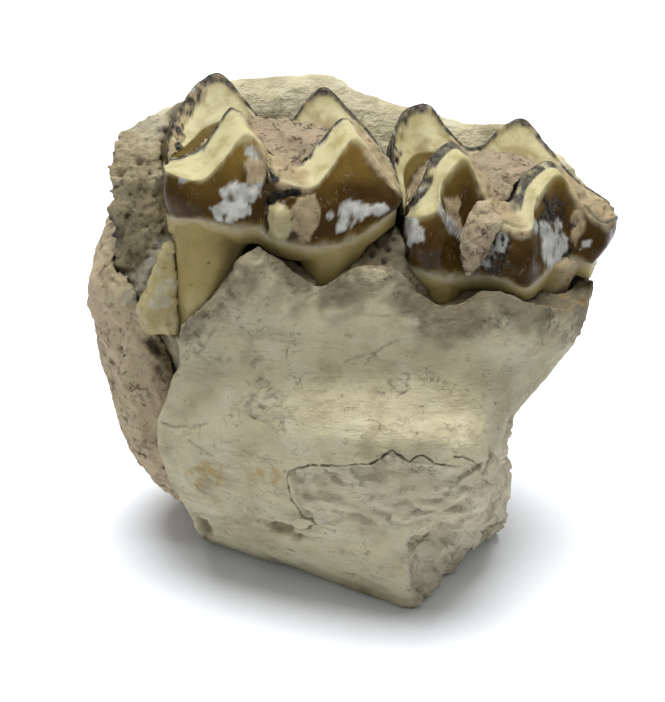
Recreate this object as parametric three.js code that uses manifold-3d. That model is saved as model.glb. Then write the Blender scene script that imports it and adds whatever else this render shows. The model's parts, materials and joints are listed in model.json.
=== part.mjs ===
// A fossil oreodont jaw: a broken piece of the right upper jaw, lying upside down so that its last
// two molars point up. Millimetres, +Z up. The cheek side faces -Y, the back of the mouth is at +X,
// and the piece stands on the flat spot at z = 0.
//
// Every body is a skin over hand-placed guide lines. Bone and rock lines run along the jaw or up the
// rock, tooth lines run from the front of the tooth to its back.

import * as THREE from 'three';
import { mergeVertices } from 'three/addons/utils/BufferGeometryUtils.js';
import Module from 'manifold-3d';

const wasm = await Module();
wasm.setup();

// Driving dimensions, in millimetres.
const GAP = 0.3;             // clear space between bodies that meet
const BASE_LEVEL = 0;        // the flat spot that the jaw stands on
const LIP_THICKNESS = 1.0;   // bone at the edge of the tooth sockets
const LIP_DROP = 0.9;        // how far the lip's inner edge lies below its outer edge
const NECK_DEPTH = 2.2;      // from a crown's neck down to where its roots part
const NECK_INSET = 1.3;      // how far the neck draws in over that depth
const CRACK_WIDTH = 0.5;     // cracks in the bone, across
const ROCK_LUMPS = { height: 0.3, spread: 1.7 };  // lumps and dips of the weathered rock

// How finely each skin is divided.
const BONE_STEPS = { along: 23, between: 2 };
const ROCK_STEPS = { along: 12, between: 3 };
const TOOTH_STEPS = { along: 22, between: 1 };
const FILL_STEPS = { along: 13, between: 1 };
const LUMP_STEPS = { along: 8, between: 3 };
const CRACK_STEPS = { along: 12, between: 1 };
const ROOT_SIDES = 10;
const HOLLOW_SIDES = { round: 8, high: 5 };

const v = (x, y, z) => new THREE.Vector3(x, y, z);
const line = (...points) => points.map((p) => v(...p));
const shifted = (points, x, y, z) => points.map((p) => v(p.x + x, p.y + y, p.z + z));
const between = (a, b, share) => a.map((p, i) => p.clone().lerp(b[i], share));

// The bone

// The edge of the sockets on the cheek side, scalloped round the roots.
const socketEdge = line(
  [-12.8, 0.9, 24.6], [-11.2, 0.4, 26.2], [-9, 0.4, 28.8], [-7.5, 0.75, 31.2], [-6, 1, 32.1],
  [-4.25, 0.75, 30.75], [-1.75, 0.25, 28.75], [-0.25, 0.25, 29], [1.5, 0.5, 30.5], [3.75, 0.5, 30.75],
  [5.5, 0.75, 29.75], [7.75, 0.25, 27.25], [10, 0.5, 26.5], [12.25, 0.75, 28], [13.75, 0.75, 28],
  [15.5, 0.5, 27], [17.5, 1, 26.8], [19, 1.5, 25.75], [21.25, 4, 26], [22.75, 7, 26.75],
);

const boneLines = [
  socketEdge,
  // bulges over the roots
  line([-12.6, 0, 21.8], [-9.75, -0.75, 24], [-6, -0.9, 27.5], [-1.75, -1.4, 25.75], [3, -1.1, 27.5],
    [8, -1.25, 25], [13, -1, 25.25], [18.25, 1, 23.25], [21.75, 5, 22.75]),
  // the hollow of the cheek side
  line([-13.5, 0.25, 20.25], [-9.25, -0.75, 21.5], [-5.25, -1.25, 21.75], [-0.25, -1.5, 21.25],
    [4.75, -1.75, 21.5], [9.75, -1.5, 21.25], [14.75, -0.5, 21.25], [18.5, 2, 21.25], [21, 5.5, 20.25]),
  // where the cheekbone starts to flare
  line([-14.25, -0.25, 17.5], [-11, -1.5, 18.75], [-6.75, -2.5, 19.5], [-1.75, -3.75, 19.75],
    [3, -4.5, 20], [8, -4.5, 19.5], [12.25, -3.25, 18.75], [15, -0.5, 17.75], [17.75, 3.5, 17.25]),
  // the cheekbone's ridge
  line([-15, -0.5, 15.25], [-11, -2.5, 16.5], [-6.75, -4.25, 17], [-1.75, -5.75, 18], [3, -7, 18.75],
    [8, -7.5, 18.75], [12, -6.5, 17.25], [13.75, -3.5, 15.75], [15, 1.5, 14.25]),
  line([-14.5, -0.5, 11.5], [-11.25, -2.5, 12.75], [-7, -4.5, 14], [-1.75, -6.25, 15.25],
    [3, -7.5, 16], [8, -8.25, 16], [12, -7, 14.75], [13.75, -4, 13.5], [15.25, 0.5, 11.75]),
  // the broken face below the ridge
  line([-13.5, -0.25, 8.25], [-10.5, -2.25, 9], [-6.25, -4.25, 10], [-2, -6, 11], [3, -7.5, 12],
    [8, -8.25, 12.5], [11.25, -7.25, 11.75], [13.2, -3.5, 9.75], [15.5, 0.5, 9]),
  line([-12.25, 1, 4.25], [-9.75, -1, 5.25], [-6.25, -3, 6.25], [-2.75, -4.5, 7], [1.5, -6.5, 8.5],
    [5.75, -7.9, 10], [8.75, -6, 9], [12, -2, 6.25], [15.5, 1, 6.25]),
  // the front edge of the flat spot
  line([-12, 4.8, 0.3], [-8.25, 2.8, 0.2], [-4.75, 1, 0.1], [-1.25, -0.9, 0], [2.5, -3.1, 0],
    [5.4, -4.9, 0], [7, -5.8, 0.1], [9.75, -0.9, 0], [12.5, 3.8, 0], [15.6, 5.8, 0.4]),
  line([-10.5, 6.5, -0.4], [-4, 3, -0.4], [3, -1, -0.4], [7, -2.5, -0.4], [10.5, 3, -0.4], [14, 7, -0.4]),
  // the back of the bone, against the rock
  line([-10, 10.5, -0.4], [-2, 11.5, -0.4], [6, 11, -0.4], [14, 9, -0.4]),
  line([-12, 9.5, 6], [-2, 11, 6], [8, 11.5, 6], [15.2, 9.5, 6.5]),
  line([-13, 9, 15], [-2, 10.5, 15], [8, 11.5, 14], [16.8, 9.5, 13.5]),
  line([-16, 11, 24], [-2, 15, 25], [10, 17, 21.5], [21.4, 12, 19]),
  // the palate's broken rear edge
  line([-18.6, 13.4, 30], [-12.2, 20.4, 31.4], [-6, 21.8, 32], [6, 22.2, 27.5], [15, 21.6, 25],
    [20, 19.2, 23.4], [22.9, 13.6, 23]),
  line([-18.25, 14.5, 36.4], [-14.25, 17.5, 37.2], [-8.5, 22, 38.2], [-5.25, 23, 38], [0.25, 23.5, 38],
    [2, 23.2, 36.6], [4.25, 23, 36], [6.5, 23, 35], [9.5, 23, 34.5], [12.75, 22, 33.75],
    [16.25, 22, 34], [20, 20, 32.2], [21.9, 17.4, 31.4], [24, 14.6, 28.8]),
  // the palate's roof
  line([-18.6, 10.6, 36.4], [-14.6, 14, 36.9], [-8, 19.5, 37.2], [0, 20.5, 36.6], [8, 20.8, 34.4],
    [16, 20.8, 33], [20.6, 17.6, 31], [24.2, 13, 28.6]),
  // the edge of the sockets on the palate side
  line([-19, 8.4, 34.8], [-15.6, 8, 34.6], [-12.8, 13, 34.8], [-8, 18.2, 35], [0, 18.6, 34.2],
    [6, 18.4, 32.6], [12, 18.4, 31], [17, 19.6, 30.6], [20.6, 16.4, 29], [24.2, 11, 28.2]),
  // the broken front end beside the front molar, then between the roots
  line([-19.3, 7.2, 29], [-15.2, 6.4, 30], [-8, 13, 30.5], [0, 15, 30], [8, 15, 28], [16, 16, 27],
    [21.5, 12.4, 26.4], [24, 11.4, 27.8]),
  line([-16.8, 5.6, 25.6], [-13, 3.6, 25.6], [-8, 4, 28.2], [-3, 3.6, 29.8], [2, 3.8, 29.6],
    [5.6, 3.2, 31.2], [9, 4.2, 26.8], [16, 4.6, 26], [21.5, 7.4, 26.2],
    [23.8, 9.4, 27.4]),
  shifted(socketEdge, 0, LIP_THICKNESS, -LIP_DROP),
];

// The middles of the bone's front and rear ends.
const boneEnds = [v(-13.6, 6, 15), v(14.4, 5, 12.5)];

// Cracks below the cheekbone's ridge: one along it and one down from its front end.
const cracks = [
  line([-4.2, -5.6, 14.5], [-0.1, -6.8, 15.7], [3.1, -7.6, 16.4], [4.8, -7.9, 17.6], [6.3, -8.2, 17],
    [7.8, -8.2, 17.5], [9.3, -8.1, 16.6], [12.4, -6.7, 16]),
  line([-4, -5.6, 14.2], [-3.6, -5.7, 12.3], [-2.9, -5.8, 10.8], [-1.2, -5.8, 8.8]),
];

// Hollows broken out of the bone: middle x, y, z, then half sizes.
const hollows = [
  // under the ledge at the lower right
  [8.8, -6.2, 7.8, 1.4, 1.3, 1.1], [10, -5.9, 4, 1.3, 1.3, 2.6],
  // down the broken rear face
  [13.9, -3.8, 10.2, 1.1, 1, 1.4], [15.2, -0.4, 7.2, 1, 1.3, 1.2], [13.2, -2.6, 5.6, 1, 1.4, 1.2],
  [15.6, 1.6, 12.2, 0.9, 1.2, 1.3], [15, 4.6, 2.8, 0.9, 1.2, 1],
  // small pits in the lower face
  [-11.3, -0.2, 4.9, 0.7, 0.6, 0.4], [-4.5, -4.4, 7.4, 0.9, 0.6, 0.4],
  // the rough front end
  [-17.2, 6.6, 31.6, 0.8, 0.8, 1], [-19.1, 7.2, 29.6, 0.7, 0.8, 0.8], [-16.6, 6.2, 28.6, 0.7, 0.7, 0.9],
  [-18.2, 7.4, 33.4, 0.6, 0.6, 0.7],
];

// The rock, in lines that run up it, and the middles of its lower and upper ends.
const rockLines = [
  line([-13.6, 3.6, 4.6], [-16, 3.4, 9.5], [-17.3, 3.3, 14.5], [-17.9, 3.6, 19], [-17.9, 4.2, 23],
    [-17.6, 5.2, 26.4], [-16, 7.5, 28.4]),
  line([-14.6, 7, 3.2], [-17.7, 7.5, 8], [-19.4, 8, 12.5], [-20.3, 8, 17], [-20.7, 8, 21.5],
    [-20.9, 8.4, 26], [-19.4, 9.6, 29.6]),
  line([-13, 12, 1.2], [-17.4, 13, 7], [-19, 13.8, 13], [-19.8, 14.4, 19], [-19.9, 14.5, 25],
    [-17.6, 14.4, 30.4]),
  line([-6, 16.4, -0.4], [-8.5, 20, 7], [-9, 22, 15], [-9.4, 22.8, 22], [-9, 22.4, 28], [-8, 20.6, 33]),
  line([6, 15.6, -0.4], [5.4, 19.5, 7], [5.6, 21.6, 14], [6, 22.4, 20], [6, 21.8, 25.5], [6, 19.6, 29.5]),
  line([12.5, 11, -0.4], [14.6, 13.6, 7], [16.4, 15.6, 13], [17.4, 17, 18], [17.2, 17.4, 22],
    [15.5, 16.6, 25.5]),
  line([8, 7, 1.5], [8, 7, 13], [8, 8, 23]),
  line([-9, 4.5, 3], [-9, 4.5, 14], [-9, 7, 24]),
];
const rockEnds = [v(-2, 12, 0.4), v(-4, 15, 29)];

// The molars. Each line has a point at each of these places, from the front of the tooth to its back:
// front end, front style (two), flank, front cusp, flank, middle style (two), flank, rear cusp, flank,
// rear style, rear end.

const frontMolar = {
  neckCheek: line([-13.9, 6, 33.2], [-13.3, 3.1, 33.6], [-10.7, 1.5, 34.1], [-9.4, 1.3, 33.9],
    [-7.6, 1.5, 33.3], [-6.1, 2, 33.1], [-5.1, 1.8, 32.3], [-2.1, 1.5, 31.7], [-0.8, 1.4, 31.7],
    [1.2, 1.8, 31.9], [3.2, 2.4, 32.9], [5.1, 3.4, 34.1], [5.3, 5, 33.6]),
  wallCheek: line([-14, 6, 35.3], [-13.6, 2.9, 35.6], [-10.8, 1.8, 35.7], [-9.3, 2.1, 35.9],
    [-7.3, 3.3, 36.4], [-5.7, 3, 35.7], [-5, 2.5, 34.8], [-1.7, 2, 34], [-0.5, 2.6, 34.6],
    [1.6, 3.9, 35.5], [3.4, 3.9, 35.3], [5.3, 3.5, 34.7], [5.6, 5, 34]),
  edgeCheek: line([-13.9, 6, 36.9], [-13.2, 3.2, 37.6], [-10.7, 2.7, 37.2], [-8.9, 4.2, 38.4],
    [-7, 6.3, 39.8], [-5.5, 5.1, 38.8], [-4.9, 3.8, 37.2], [-1.7, 3.1, 36.4], [-0.3, 4.5, 37.3],
    [1.9, 7.2, 39], [3.5, 6, 37.5], [5.4, 4, 35.3], [5.7, 5.2, 34.5]),
  edgeValley: line([-13.4, 6.6, 37.2], [-12.2, 6.3, 37.6], [-10.6, 7, 38.3], [-9.6, 8.3, 39.5],
    [-8.4, 9.4, 40.7], [-6.6, 8, 39.4], [-5, 6.4, 37.7], [-2.7, 6.2, 37], [-1, 8.1, 38.2],
    [0.9, 9.9, 39.5], [2.6, 8.2, 38.5], [4.6, 6.6, 36.6], [5.6, 6.4, 35]),
  valley: line([-13.2, 7.6, 36.6], [-12, 7.9, 35.8], [-10.8, 9, 35.4], [-9.8, 10.6, 35.6],
    [-8.2, 11.4, 36], [-6, 10, 35], [-4.6, 8.4, 34.4], [-2.8, 8.4, 34.2], [-1.4, 10.4, 34.6],
    [0.6, 12, 35], [2.6, 10.6, 34.6], [4.4, 8.8, 34], [5.4, 7.6, 34.2]),
  edgeTongueIn: line([-13.3, 8.3, 36.8], [-12.6, 9.4, 37], [-11.8, 11, 37.2], [-10.9, 12.6, 37.5],
    [-9.2, 13.4, 37.8], [-7.2, 12.8, 37.2], [-5.2, 11.6, 36.8], [-3.6, 11.8, 36.6], [-2, 13.4, 36.8],
    [-0.2, 14.2, 36.8], [1.8, 12.8, 36.4], [3.6, 10.6, 35.6], [5.2, 8.4, 34.6]),
  edgeTongueOut: line([-13.8, 8.6, 36.9], [-13.7, 11, 37.8], [-13, 14, 38.8], [-11.4, 16.4, 40.2],
    [-9.8, 17, 40.7], [-7.8, 15.4, 39.2], [-5.6, 12.9, 37.9], [-3.6, 13.2, 37.9], [-2.2, 15.8, 38.8],
    [-0.6, 17.4, 39.2], [1.2, 15.8, 38], [3.6, 12.2, 36.6], [5.4, 9.2, 34.9]),
  wallTongue: line([-14.2, 9, 34.6], [-14.8, 12, 35.4], [-14.2, 15.6, 36], [-12.2, 18.4, 36.4],
    [-9.8, 19.2, 36.6], [-7.4, 18.2, 35.8], [-5.4, 16.6, 35], [-3.6, 16.8, 35], [-1.8, 18.6, 35.4],
    [0.2, 19, 35.2], [2.2, 17.8, 34.6], [4.6, 14, 33.6], [5.6, 9.8, 32.9]),
  neckTongue: line([-13.8, 9.2, 32.4], [-14, 12.2, 32.8], [-13.4, 15.8, 33], [-11.8, 18.4, 33],
    [-9.6, 19.4, 33], [-7.2, 18.6, 32.6], [-5.2, 17.4, 32.2], [-3.6, 17.6, 32], [-1.8, 19, 32],
    [0.2, 19.2, 31.8], [2.2, 18, 31.6], [4.4, 14, 31.4], [5.2, 10, 31.4]),
};

const rearMolar = {
  neckCheek: line([5.9, 4.6, 29.8], [6.5, 2.3, 29.3], [8.2, 1.4, 29.1], [9.6, 1.9, 28.5],
    [10.8, 2.4, 28.3], [12.4, 2.6, 28.3], [13.7, 2, 28.5], [15.9, 1.3, 27.9], [17.6, 3, 28.2],
    [18.8, 5.2, 28.3], [20.2, 6, 28.3], [21.8, 5.6, 28], [22.7, 7.6, 27.7]),
  wallCheek: line([6, 5, 31.3], [6.5, 2.3, 31.4], [8.7, 1.9, 31.6], [9.7, 3.9, 32], [11.1, 5.3, 32.6],
    [12.5, 4.4, 31.6], [13.8, 2.6, 30.6], [16.3, 2, 30.2], [17.3, 4.6, 31], [19.1, 7.2, 31.4],
    [20.5, 7, 30.4], [22.6, 5.6, 29.6], [24, 7.9, 29.4]),
  edgeCheek: line([6.2, 5.4, 32.6], [7, 3.3, 33.6], [8.5, 3.3, 34.2], [9, 5.4, 35.7], [11, 7.5, 37],
    [12.6, 5.6, 34.7], [14, 3.75, 32.75], [16.2, 3.2, 32.5], [16.9, 5.8, 33.9], [19.2, 9, 34.8],
    [20.8, 8, 32.8], [22.8, 6.5, 31.4], [24.2, 8.2, 31.2]),
  edgeValley: line([6.4, 6.4, 33.4], [6.8, 6.2, 34.3], [7.6, 7.2, 35.6], [8.4, 8.6, 36.8],
    [10, 9.5, 37.5], [12.4, 7.4, 35.4], [13.8, 5.8, 33.8], [14.8, 6, 33.6], [16, 8.6, 34.8],
    [18.6, 11, 35], [20.5, 9.8, 33.5], [22.4, 8.8, 32.2], [24, 9.4, 31.4]),
  valley: line([6.4, 7.4, 32.8], [6.8, 8.2, 32.6], [7.8, 9.4, 32.6], [8.8, 10.6, 33], [10.2, 11, 33.2],
    [11.8, 9.6, 32.6], [13.2, 8.2, 32], [14.4, 8.4, 31.8], [15.8, 11, 31.8], [17.8, 12.8, 31.8],
    [19.8, 11.8, 31.2], [21.8, 10.2, 30.6], [23.7, 9.9, 30.8]),
  edgeTongueIn: line([6.2, 8, 33.2], [6, 9.4, 34.2], [6.2, 11, 34.8], [7.2, 12.4, 35.2],
    [8.8, 12.6, 35.2], [10.2, 12, 34.8], [11.6, 11.2, 34.4], [13.2, 12, 34], [14.8, 14, 34],
    [16.6, 14.8, 33.8], [18.6, 13.6, 33], [20.8, 11.6, 32], [23.4, 10.3, 31.1]),
  edgeTongueOut: line([5.8, 8.2, 33.4], [5.1, 10.2, 35.6], [5.3, 13, 37.2], [6.6, 15.6, 38.1],
    [8.3, 16.2, 38.1], [9.8, 14.4, 36.8], [11.4, 12.5, 35.8], [13, 14, 35.3], [14.8, 16.8, 35.7],
    [16.8, 18.2, 35.9], [18.8, 16.2, 34.2], [21.2, 12.8, 32.5], [23.8, 10.7, 31.4]),
  wallTongue: line([5.7, 8.8, 31.4], [4.7, 11, 32.6], [4.6, 14.4, 33.6], [6, 17.6, 34], [8.2, 18.6, 34],
    [10.4, 17.2, 32.8], [12, 16, 32], [13.6, 17.6, 32], [15.4, 19.8, 32.2], [17.4, 20.4, 31.8],
    [20, 18, 30.8], [22.6, 14, 29.8], [24.1, 10.8, 29.4]),
  neckTongue: line([5.9, 9, 29.3], [5.2, 11.4, 29.5], [5.2, 15.2, 29.8], [6.4, 18.4, 29.9],
    [8.6, 19.4, 29.8], [10.6, 18.2, 29.2], [12.2, 17, 28.8], [13.8, 18, 28.6], [15.6, 19.6, 28.4],
    [17.6, 19.8, 28.2], [20, 17.4, 27.8], [21.8, 13.6, 27.4], [22.4, 10.4, 27.4]),
};

// Rock left in the valleys of the crowns: cheek side, top, tongue side, bottom.
const frontFill = [
  line([-11.4, 8.8, 36.4], [-9.4, 9.6, 37.2], [-7, 7.8, 37.4], [-5.2, 4.8, 36.9], [-3.2, 5.8, 36.6],
    [-0.4, 9.4, 37], [2, 9.4, 36.8], [4.2, 7.8, 35.4]),
  line([-11.3, 10, 36.8], [-9.4, 11.2, 37.4], [-7, 10.6, 37.9], [-5.2, 8.8, 37.7], [-3.2, 9.6, 37.4],
    [-0.6, 11.6, 37.4], [1.8, 11, 36.7], [4.2, 8.8, 35.5]),
  line([-11.4, 11.4, 36.8], [-9.6, 12.8, 37.4], [-7.2, 13.8, 38.1], [-5.4, 13, 38.3], [-3.4, 13.4, 38],
    [-1, 13.6, 37.2], [1.6, 12.6, 36.4], [4.1, 9.8, 35.4]),
  line([-11, 10, 35], [-9.4, 11, 34.8], [-7, 10.6, 34.4], [-5.2, 9, 33.8], [-3.2, 9.4, 33.8],
    [-0.6, 11.6, 34], [1.8, 10.8, 34], [4.2, 8.8, 33.8]),
];
const rearFill = [
  line([7.4, 8.4, 33.6], [9, 9.8, 34.2], [11.4, 8.6, 34.2], [13.4, 6.4, 33.4], [14.9, 6.6, 33.2],
    [16.8, 10, 33.8], [19, 11, 33.4], [22.4, 9.6, 31.4]),
  line([7.4, 9.6, 34], [9, 11, 34.6], [11.4, 10.4, 34.8], [13.4, 8.8, 34.6], [15, 9.6, 34.4],
    [16.8, 12, 34.2], [19, 12, 33.4], [22.4, 10.2, 31.5]),
  line([7.2, 11, 34.2], [8.8, 12.2, 34.8], [11, 12.4, 35.4], [13, 13.2, 35.2], [14.8, 14, 34.6],
    [16.8, 14.2, 34], [19, 13, 33], [22.4, 10.8, 31.3]),
  line([7.6, 9.8, 32.2], [9, 11, 32.2], [11.4, 10.4, 31.8], [13.4, 8.8, 31.2], [15, 9.6, 31],
    [16.8, 12, 31], [19, 12, 30.6], [22.4, 10.2, 30.2]),
];

// Each root is a row of ovals from the crown down: middle x, y, z, half width, half depth.
const frontRoots = [
  [[-10, 5.2, 34.4, 3.7, 3.6], [-10.2, 4.6, 30.5, 3.3, 3.4], [-11.2, 4, 26.5, 2.2, 3],
    [-12.1, 3.6, 22.5, 1.2, 1.8]],
  [[0.4, 5.2, 33, 3.9, 3.5], [0, 4.8, 30.4, 3.2, 3.2], [-0.8, 4.4, 27, 2.1, 2.6],
    [-1, 4.2, 23.5, 1.1, 1.6]],
  [[-4.6, 14.4, 33.4, 6, 3.2], [-4.6, 14.6, 30, 4.6, 2.6], [-4.6, 14.4, 26, 2, 1.5]],
];
const rearRoots = [
  [[8.9, 5, 28.6, 2.6, 3], [8.8, 4.6, 25.4, 2.1, 2.6], [8.6, 4.4, 21, 1, 1.4]],
  [[18.4, 7.6, 28, 3, 2.8], [18.2, 7.2, 25, 2.3, 2.3], [17.8, 6.8, 21, 1, 1.3]],
  [[12.2, 15.4, 29.2, 5.6, 2.8], [12.2, 15.2, 26.4, 4.2, 2.2], [12.2, 14.8, 22.6, 1.8, 1.3]],
];

// What is left of a root of the lost tooth in front, seen end on beside the front molar.
const lostRoot = [
  [-13.6, 3.7, 30.8, 0.4, 0.6], [-13.9, 3.6, 29, 0.8, 1.1], [-14.4, 3.3, 26.8, 1.3, 1.5],
  [-14.8, 3, 24.9, 1.6, 1.7], [-14.6, 2.8, 23.4, 1.5, 1.3],
];

// Rock stuck to the cheek side of the rear molar: its left edge, face, right edge and back, top down.
const cheekLump = [
  line([12, 4.6, 34.1], [11, 4.1, 33], [10.6, 3.4, 31.6], [10.4, 3, 30.1], [10.7, 2.6, 28.9]),
  line([12.6, 3.9, 34.4], [12.4, 2.6, 33.4], [12.1, 1.9, 32], [11.5, 1.6, 30.5], [11.1, 1.9, 28.8]),
  line([12.9, 4.6, 34.4], [13.9, 3, 33.3], [13.4, 2.5, 31.8], [12.7, 2.4, 30.4], [11.6, 2.5, 28.9]),
  line([12.5, 6.4, 34], [12.4, 6, 33], [12, 5.4, 31.5], [11.6, 4.6, 30.2], [11.2, 4, 29]),
];

// Making solids

// A closed surface over the lines: they run side by side round the body, and each runs its length.
// The ends close on the points in `ends`, or else on the middle of the last ring.
function skin(lines, steps, { evenly = false, ends = [null, null], relief = () => 0 } = {}) {
  const curves = lines.map((points) => new THREE.CatmullRomCurve3(points, false, 'centripetal'));
  const positions = [];
  const ringSize = lines.length * steps.between;
  for (let i = 0; i <= steps.along; i++) {
    const t = i / steps.along;
    const stations = curves.map((c) => (evenly ? c.getPointAt(t) : c.getPoint(t)));
    const ring = new THREE.CatmullRomCurve3(stations, true, 'centripetal');
    const middle = stations.reduce((sum, p) => sum.add(p), v(0, 0, 0)).divideScalar(stations.length);
    for (let j = 0; j < ringSize; j++) {
      const p = ring.getPoint(j / ringSize);
      const outwards = p.clone().sub(middle).normalize();
      positions.push(...p.addScaledVector(outwards, relief(p)).toArray());
    }
  }
  const index = [];
  for (let i = 0; i < steps.along; i++) {
    for (let j = 0; j < ringSize; j++) {
      const a = i * ringSize + j;
      const b = i * ringSize + (j + 1) % ringSize;
      index.push(a, b, a + ringSize, b, b + ringSize, a + ringSize);
    }
  }
  capEnd(positions, index, 0, ringSize, true, ends[0]);
  capEnd(positions, index, steps.along * ringSize, ringSize, false, ends[1]);
  return closedGeometry(positions, index);
}

function lumps(p, { height, spread }) {
  const across = Math.sin(p.x / spread + 1.3 * Math.sin(p.z / spread));
  const wave = across + Math.sin(p.y / spread + p.z / (1.4 * spread));
  return height * wave;
}

// A root: ovals joined from the top down.
function rootSkin(ovals) {
  const middles = new THREE.CatmullRomCurve3(ovals.map(([x, y, z]) => v(x, y, z)));
  const halves = new THREE.CatmullRomCurve3(ovals.map((o) => v(o[3], o[4], 0)));
  const rings = 2 * (ovals.length - 1);
  const positions = [];
  for (let i = 0; i <= rings; i++) {
    const c = middles.getPoint(i / rings);
    const r = halves.getPoint(i / rings);
    for (let j = 0; j < ROOT_SIDES; j++) {
      const a = 2 * Math.PI * j / ROOT_SIDES;
      positions.push(c.x + r.x * Math.cos(a), c.y + r.y * Math.sin(a), c.z);
    }
  }
  const index = [];
  for (let i = 0; i < rings; i++) {
    for (let j = 0; j < ROOT_SIDES; j++) {
      const a = i * ROOT_SIDES + j;
      const b = i * ROOT_SIDES + (j + 1) % ROOT_SIDES;
      index.push(a, a + ROOT_SIDES, b, b, a + ROOT_SIDES, b + ROOT_SIDES);
    }
  }
  capEnd(positions, index, 0, ROOT_SIDES, false);
  capEnd(positions, index, rings * ROOT_SIDES, ROOT_SIDES, true);
  return closedGeometry(positions, index);
}

// Closes a ring of points with a fan, round their middle if no point is given.
function capEnd(positions, index, start, count, reversed, given = null) {
  const middle = v(0, 0, 0);
  for (let j = start; j < start + count; j++) {
    middle.add(v(positions[3 * j], positions[3 * j + 1], positions[3 * j + 2]));
  }
  middle.divideScalar(count);
  if (given) middle.copy(given);
  const centre = positions.length / 3;
  positions.push(middle.x, middle.y, middle.z);
  for (let j = 0; j < count; j++) {
    const a = start + j;
    const b = start + (j + 1) % count;
    if (reversed) index.push(centre, b, a);
    else index.push(centre, a, b);
  }
}

// Six times the volume inside, negative where the faces look inwards.
function signedVolume(positions, index) {
  const corner = (i) => v(positions[3 * i], positions[3 * i + 1], positions[3 * i + 2]);
  let sum = 0;
  for (let i = 0; i < index.length; i += 3) {
    sum += corner(index[i]).dot(corner(index[i + 1]).cross(corner(index[i + 2])));
  }
  return sum;
}

function closedGeometry(positions, index) {
  if (signedVolume(positions, index) < 0) index.reverse();
  const geometry = new THREE.BufferGeometry();
  geometry.setAttribute('position', new THREE.Float32BufferAttribute(positions, 3));
  geometry.setIndex(index);
  return geometry;
}

function solid(geometry) {
  const bare = geometry.clone();
  bare.deleteAttribute('normal');
  bare.deleteAttribute('uv');
  const merged = mergeVertices(bare, 1e-4);
  return new wasm.Manifold(new wasm.Mesh({
    numProp: 3,
    vertProperties: new Float32Array(merged.attributes.position.array),
    triVerts: new Uint32Array(merged.index.array),
  }));
}

// The same surface moved outwards, to cut a neighbour clear of it.
function swollen(geometry, by) {
  const grown = geometry.clone();
  grown.computeVertexNormals();
  const p = grown.attributes.position;
  const n = grown.attributes.normal;
  for (let i = 0; i < p.count; i++) {
    p.setXYZ(i, p.getX(i) + by * n.getX(i), p.getY(i) + by * n.getY(i), p.getZ(i) + by * n.getZ(i));
  }
  return grown;
}

const joined = (solids) => solids.reduce((a, b) => a.add(b));
const largest = (whole) => whole.decompose().sort((a, b) => b.volume() - a.volume())[0];

function box(low, high) {
  const size = v(high[0] - low[0], high[1] - low[1], high[2] - low[2]);
  const geometry = new THREE.BoxGeometry(size.x, size.y, size.z);
  geometry.translate(low[0] + size.x / 2, low[1] + size.y / 2, low[2] + size.z / 2);
  return solid(geometry);
}

// The crown's closed skin, with a short neck under it.
function crownSkin(m) {
  const middle = between(m.neckCheek, m.neckTongue, 0.5);
  const drawnIn = (neck) => neck.map((p, i) => {
    const inwards = middle[i].clone().sub(p).setZ(0).normalize().multiplyScalar(NECK_INSET);
    return p.clone().add(inwards).setZ(p.z - NECK_DEPTH);
  });
  return skin([
    m.neckCheek, m.wallCheek, m.edgeCheek, m.edgeValley, between(m.edgeValley, m.valley, 0.6), m.valley,
    between(m.valley, m.edgeTongueIn, 0.5), m.edgeTongueIn, m.edgeTongueOut, m.wallTongue, m.neckTongue,
    drawnIn(m.neckTongue), shifted(middle, 0, 0, -NECK_DEPTH), drawnIn(m.neckCheek),
  ], TOOTH_STEPS);
}

const tooth = (m, roots) => joined([crownSkin(m), ...roots.map(rootSkin)].map(solid));

// The room a tooth needs.
function socket(m, roots) {
  const skins = [crownSkin(m), ...roots.map(rootSkin)];
  return joined([...skins, ...skins.map((s) => swollen(s, GAP))].map(solid));
}

// A thin body along a crack.
function crackSkin(points) {
  const r = CRACK_WIDTH / 2;
  return skin([shifted(points, 0, 0, r), shifted(points, 0, -3 * r, 0), shifted(points, 0, 0, -r),
    shifted(points, 0, 3 * r, 0)], CRACK_STEPS);
}

function ball(x, y, z, halfX, halfY, halfZ) {
  const geometry = new THREE.SphereGeometry(1, HOLLOW_SIDES.round, HOLLOW_SIDES.high);
  geometry.scale(halfX, halfY, halfZ);
  geometry.translate(x, y, z);
  return geometry;
}

// Building the pieces

const boneSkin = skin(boneLines, BONE_STEPS, { evenly: true, ends: boneEnds });
const below = box([-60, -60, BASE_LEVEL - 20], [60, 60, BASE_LEVEL]);

const frontSolid = tooth(frontMolar, frontRoots);
const frontClear = socket(frontMolar, frontRoots);
const rearSolid = tooth(rearMolar, rearRoots).subtract(frontClear);
const rearClear = socket(rearMolar, rearRoots);
const lostRootSkin = rootSkin(lostRoot);
const lostRootSolid = solid(lostRootSkin).subtract(frontClear);
const lostRootClear = solid(swollen(lostRootSkin, GAP));

const damage = joined([...cracks.map(crackSkin), ...hollows.map((h) => ball(...h))].map(solid));
const boneSolid = largest(
  solid(boneSkin).subtract(frontClear).subtract(rearClear).subtract(lostRootClear).subtract(damage)
    .subtract(below),
);
const boneClear = solid(swollen(boneSkin, GAP));
const rockSkin = skin(rockLines, ROCK_STEPS, {
  evenly: true, ends: rockEnds, relief: (p) => lumps(p, ROCK_LUMPS),
});
const rockSolid = largest(
  solid(rockSkin).subtract(boneClear).subtract(frontClear).subtract(rearClear).subtract(lostRootClear)
    .subtract(below),
);
const fill = (lines) => largest(solid(skin(lines, FILL_STEPS)).subtract(frontClear).subtract(rearClear));
const frontFillSolid = fill(frontFill);
const rearFillSolid = fill(rearFill);

const lumpSolid = largest(solid(skin(cheekLump, LUMP_STEPS)).subtract(rearClear));

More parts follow.
